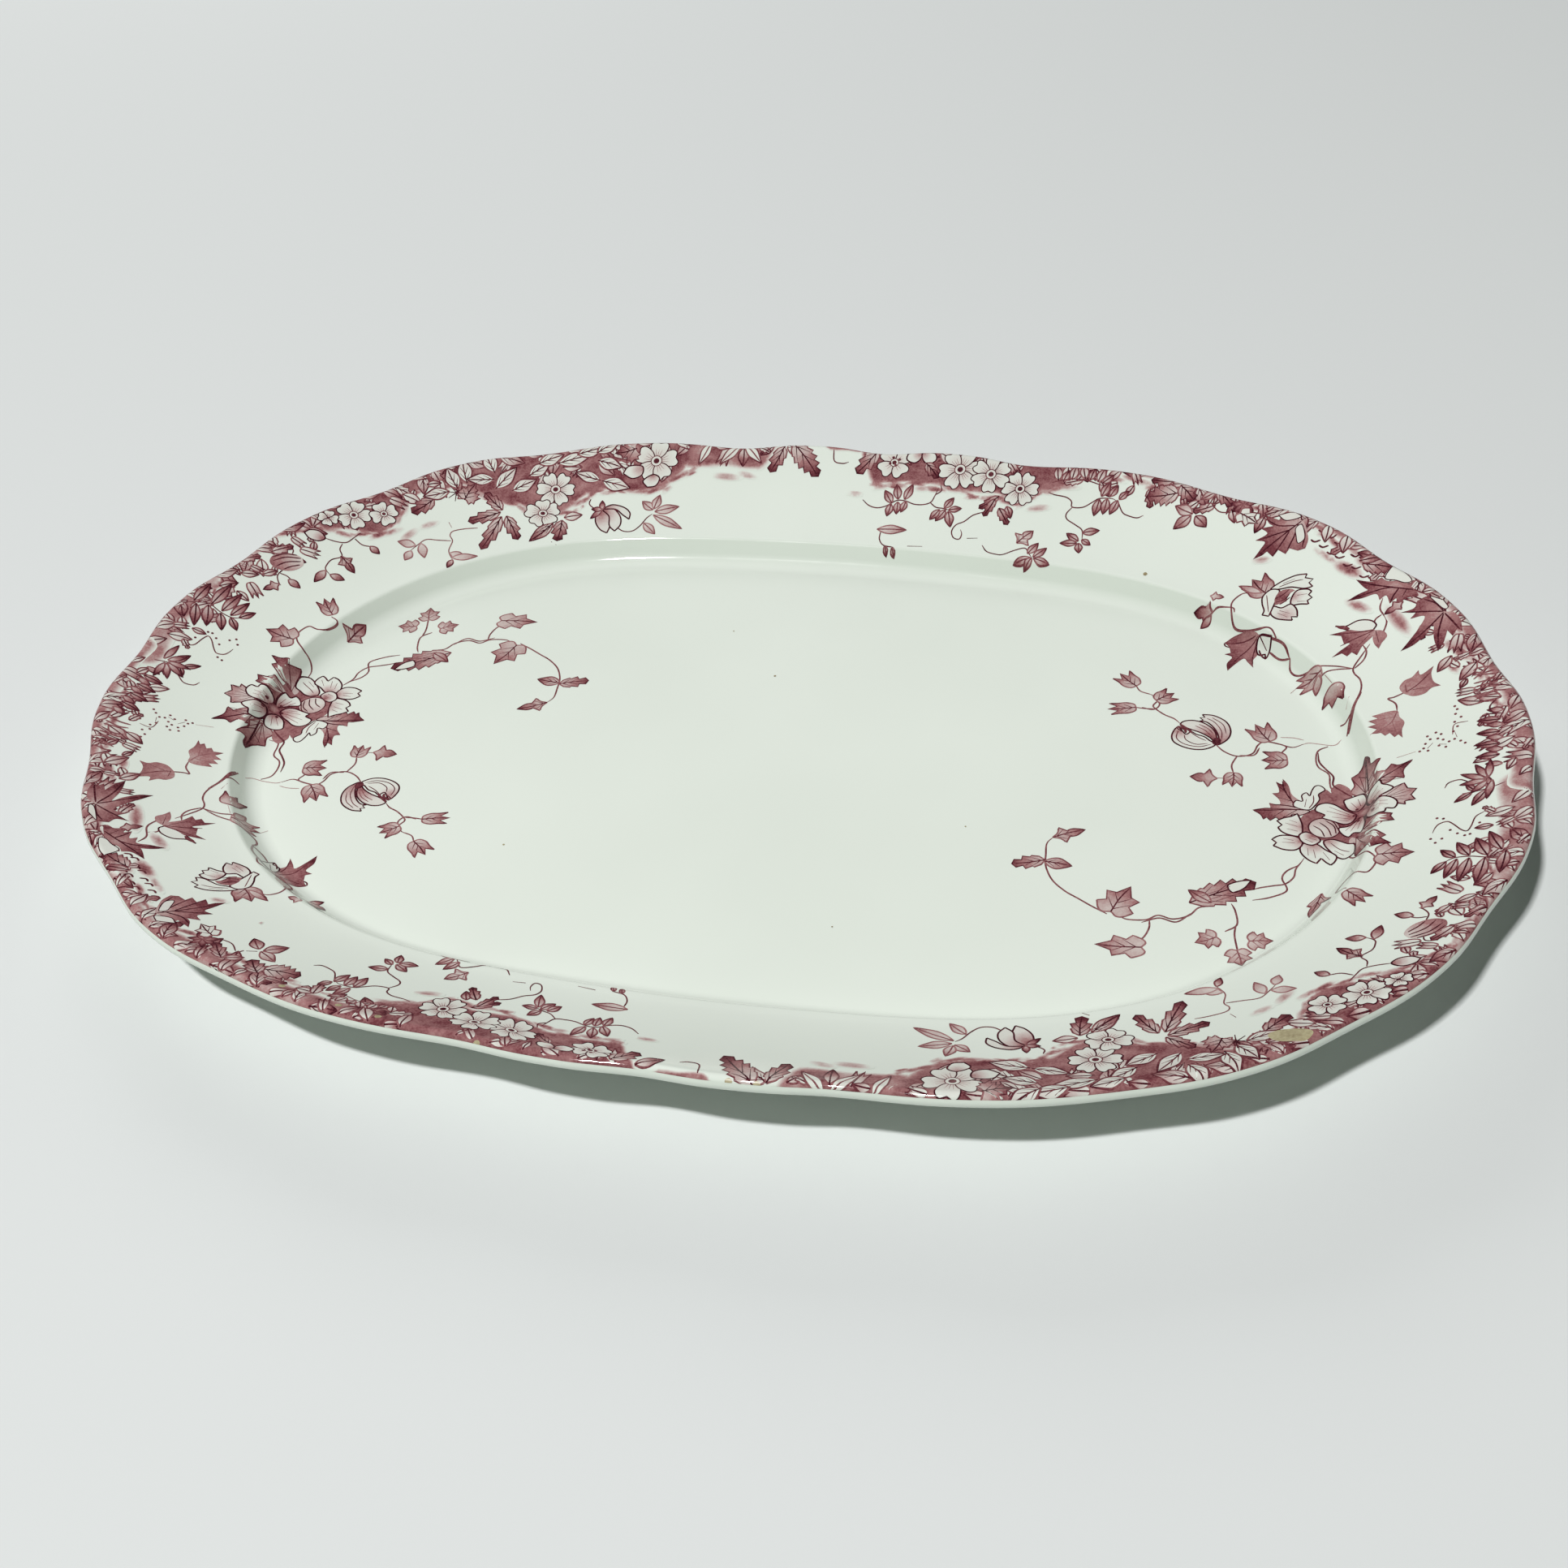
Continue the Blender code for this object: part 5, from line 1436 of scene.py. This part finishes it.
def make_camera():
    """Looks down at the platter from its near side, rolled a little to one side."""
    cos_a, sin_a = math.cos(CAMERA_AZIMUTH), math.sin(CAMERA_AZIMUTH)
    cos_e, sin_e = math.cos(CAMERA_ELEVATION), math.sin(CAMERA_ELEVATION)
    back = Vector((sin_a * cos_e, -cos_a * cos_e, sin_e))
    right = Vector((cos_a, sin_a, 0.0))
    up = back.cross(right)
    cos_r, sin_r = math.cos(CAMERA_ROLL), math.sin(CAMERA_ROLL)
    rolled_right = right * cos_r + up * sin_r
    rolled_up = up * cos_r - right * sin_r
    data = bpy.data.cameras.new("camera")
    data.lens = CAMERA_LENS
    data.sensor_width = 36.0
    camera = bpy.data.objects.new("camera", data)
    axes = Matrix((rolled_right, rolled_up, back)).transposed().to_4x4()
    camera.matrix_world = Matrix.Translation(CAMERA_TARGET + back * CAMERA_DISTANCE) @ axes
    bpy.context.collection.objects.link(camera)
    bpy.context.scene.camera = camera


def spray_drift(points):
    """How far off the left spray's rim and well flowers lie from the right one's, after the half turn."""
    return np.stack([np.full(len(points), -2.0), -(1.0 - 0.07 * (points[:, 1] - 30.0))], axis=1)


def spray_end_drift(points):
    """The same for the parts that were drawn from the left spray, when they are laid on the right."""
    on_rim = fade(-points[:, 0], 148.0, 158.0)
    return np.stack([1.6 - 1.6 * on_rim, -3.0 + 8.0 * on_rim], axis=1)


def left_border_drift(points):
    """How far off the near right border lies from the far left one, after the half turn."""
    return np.stack([np.full(len(points), -1.0), np.full(len(points), -1.0)], axis=1)


def right_border_drift(points):
    """The same for the near left border and the far right one. It is pressed together near the lip."""
    x = points[:, 0]
    off_x = np.interp(x, (121, 165, 182), (-8.5, -4.0, -2.0))
    off_y = np.interp(x, (-10, 17, 30, 70, 121, 165, 182), (-3.0, -1.0, 2.5, 3.0, 8.0, 4.0, 3.0))
    off_y = off_y + 0.4 * np.clip(points[:, 1] - 133.0, 0.0, None)
    return np.stack([off_x, off_y], axis=1)


def draw_spray(on_right):
    """The spray as it lies on one side: each part is turned over from the side where it was drawn."""
    sheet = Sheet()
    from_right = (1, no_drift) if on_right else (-1, spray_drift)
    from_left = (-1, spray_end_drift) if on_right else (1, no_drift)
    sheet.lay(*from_right)
    spray_vines(sheet)
    sheet.lay(*from_left)
    spray_far_end(sheet)
    sheet.lay(*from_right)
    spray_leaves(sheet)
    globe_flower(sheet)
    open_flower(sheet)
    dotted_tail(sheet)
    sheet.lay(1 if on_right else -1)
    bloom_ground(sheet)
    bloom(sheet)
    return sheet


def draw_border(ground, flowers, growth, sign, drift=no_drift):
    """One border strip. Its ground and flowers may lie a little off, but its leaf rows keep to the lip."""
    sheet = Sheet()
    sheet.lay(sign, drift)
    ground(sheet)
    sheet.lay(sign)
    for row in growth:
        undergrowth(sheet, *row)
    sheet.lay(sign, drift)
    flowers(sheet)
    return sheet


# Rows of small leaves: first and last angle, inset, spacing, size, tone and shift of the pattern.
LEFT_GROWTH = (
    (100, 114, 1.4, 5.2, 6.4, 0.60, 0.0),
    (115, 141, 1.2, 4.8, 7.6, 0.42, 2.0),
    (118, 134, 8.4, 6.2, 7.2, 0.36, 5.0),
    (140, 179, 0.9, 3.8, 6.8, 0.56, 1.0),
    (142, 178, 5.6, 4.6, 6.2, 0.50, 4.0),
    (158, 177, 10.6, 5.6, 5.4, 0.50, 7.0),
)
RIGHT_GROWTH = (
    (1, 40, 0.9, 3.8, 6.8, 0.52, 3.0),
    (2, 24, 5.4, 4.4, 6.0, 0.50, 6.0),
    (3, 22, 10.4, 5.6, 5.2, 0.50, 8.0),
    (40, 66, 1.0, 4.4, 7.0, 0.70, 0.5),
    (42, 63, 6.2, 5.6, 5.6, 0.60, 9.0),
    (70, 90, 1.4, 4.8, 6.2, 0.55, 2.5),
)
TAN_PATCH = (153.6, -103.8)
LIP_NICKS = ((-82, -134.5), (-70, -136.8), (-42, -140.6), (0, -142.8), (24, -142.6), (31, -142.3),
    (-100, -130))
# Specks in the glaze: x, y and size.
SPECKS = ((93.5, 99, 0.7), (-13.8, 40.8, 0.4), (-33, 62, 0.3), (58, -20, 0.3), (-72, -48, 0.35),
    (30, -66, 0.28))


def draw_marks():
    """Wear and old stains: a tan patch on the near right rim, browned nicks on the near lip, specks."""
    sheet = Sheet()
    x, y = TAN_PATCH
    patch = [(x + 5.4 * math.cos(a), y + 3.2 * math.sin(a)) for a in (0.3, 1.1, 2.2, 3.1, 4.2, 5.3)]
    sheet.fill(patch, from_point(TAN_PATCH, 6.0, 0.78, 0.58))
    for x, y in LIP_NICKS:
        nick = [(x + 1.0 * math.cos(a), y + 0.8 * math.sin(a)) for a in (0.2, 1.5, 2.8, 4.1, 5.2)]
        sheet.fill(nick, 0.7)
    for x, y, size in SPECKS:
        dot(sheet, x, y, size, 0.8)
    return sheet


def make_print():
    """Every strip and spray of the print, each laid twice, and the marks of wear."""
    glaze = glazed_material("printed_glaze", printed=True)
    left = (border_left_ground, border_left, LEFT_GROWTH)
    right = (border_right_ground, border_right, RIGHT_GROWTH)
    lay_print("print_spray_right", draw_spray(True), glaze, 0)
    lay_print("print_spray_left", draw_spray(False), glaze, 0)
    lay_print("print_border_far_left", draw_border(*left, 1), glaze, 1)
    lay_print("print_border_near_right", draw_border(*left, -1, left_border_drift), glaze, 1)
    lay_print("print_border_far_right", draw_border(*right, 1), glaze, 2)
    lay_print("print_border_near_left", draw_border(*right, -1, right_border_drift), glaze, 2)
    lay_print("glaze_marks", draw_marks(), stain_material(), 4)


scene = bpy.context.scene
scene.view_settings.view_transform = "Standard"
make_camera()
make_floor()
make_world()
make_area("key", KEY_PLACE, KEY_TARGET, KEY_SIZE, KEY_POWER)
back_light = make_area("back_light", BACK_PLACE, BACK_TARGET, BACK_SIZE, BACK_POWER)
back_light.visible_glossy = False
dress(make_body(), glazed_material("glaze"))
make_print()
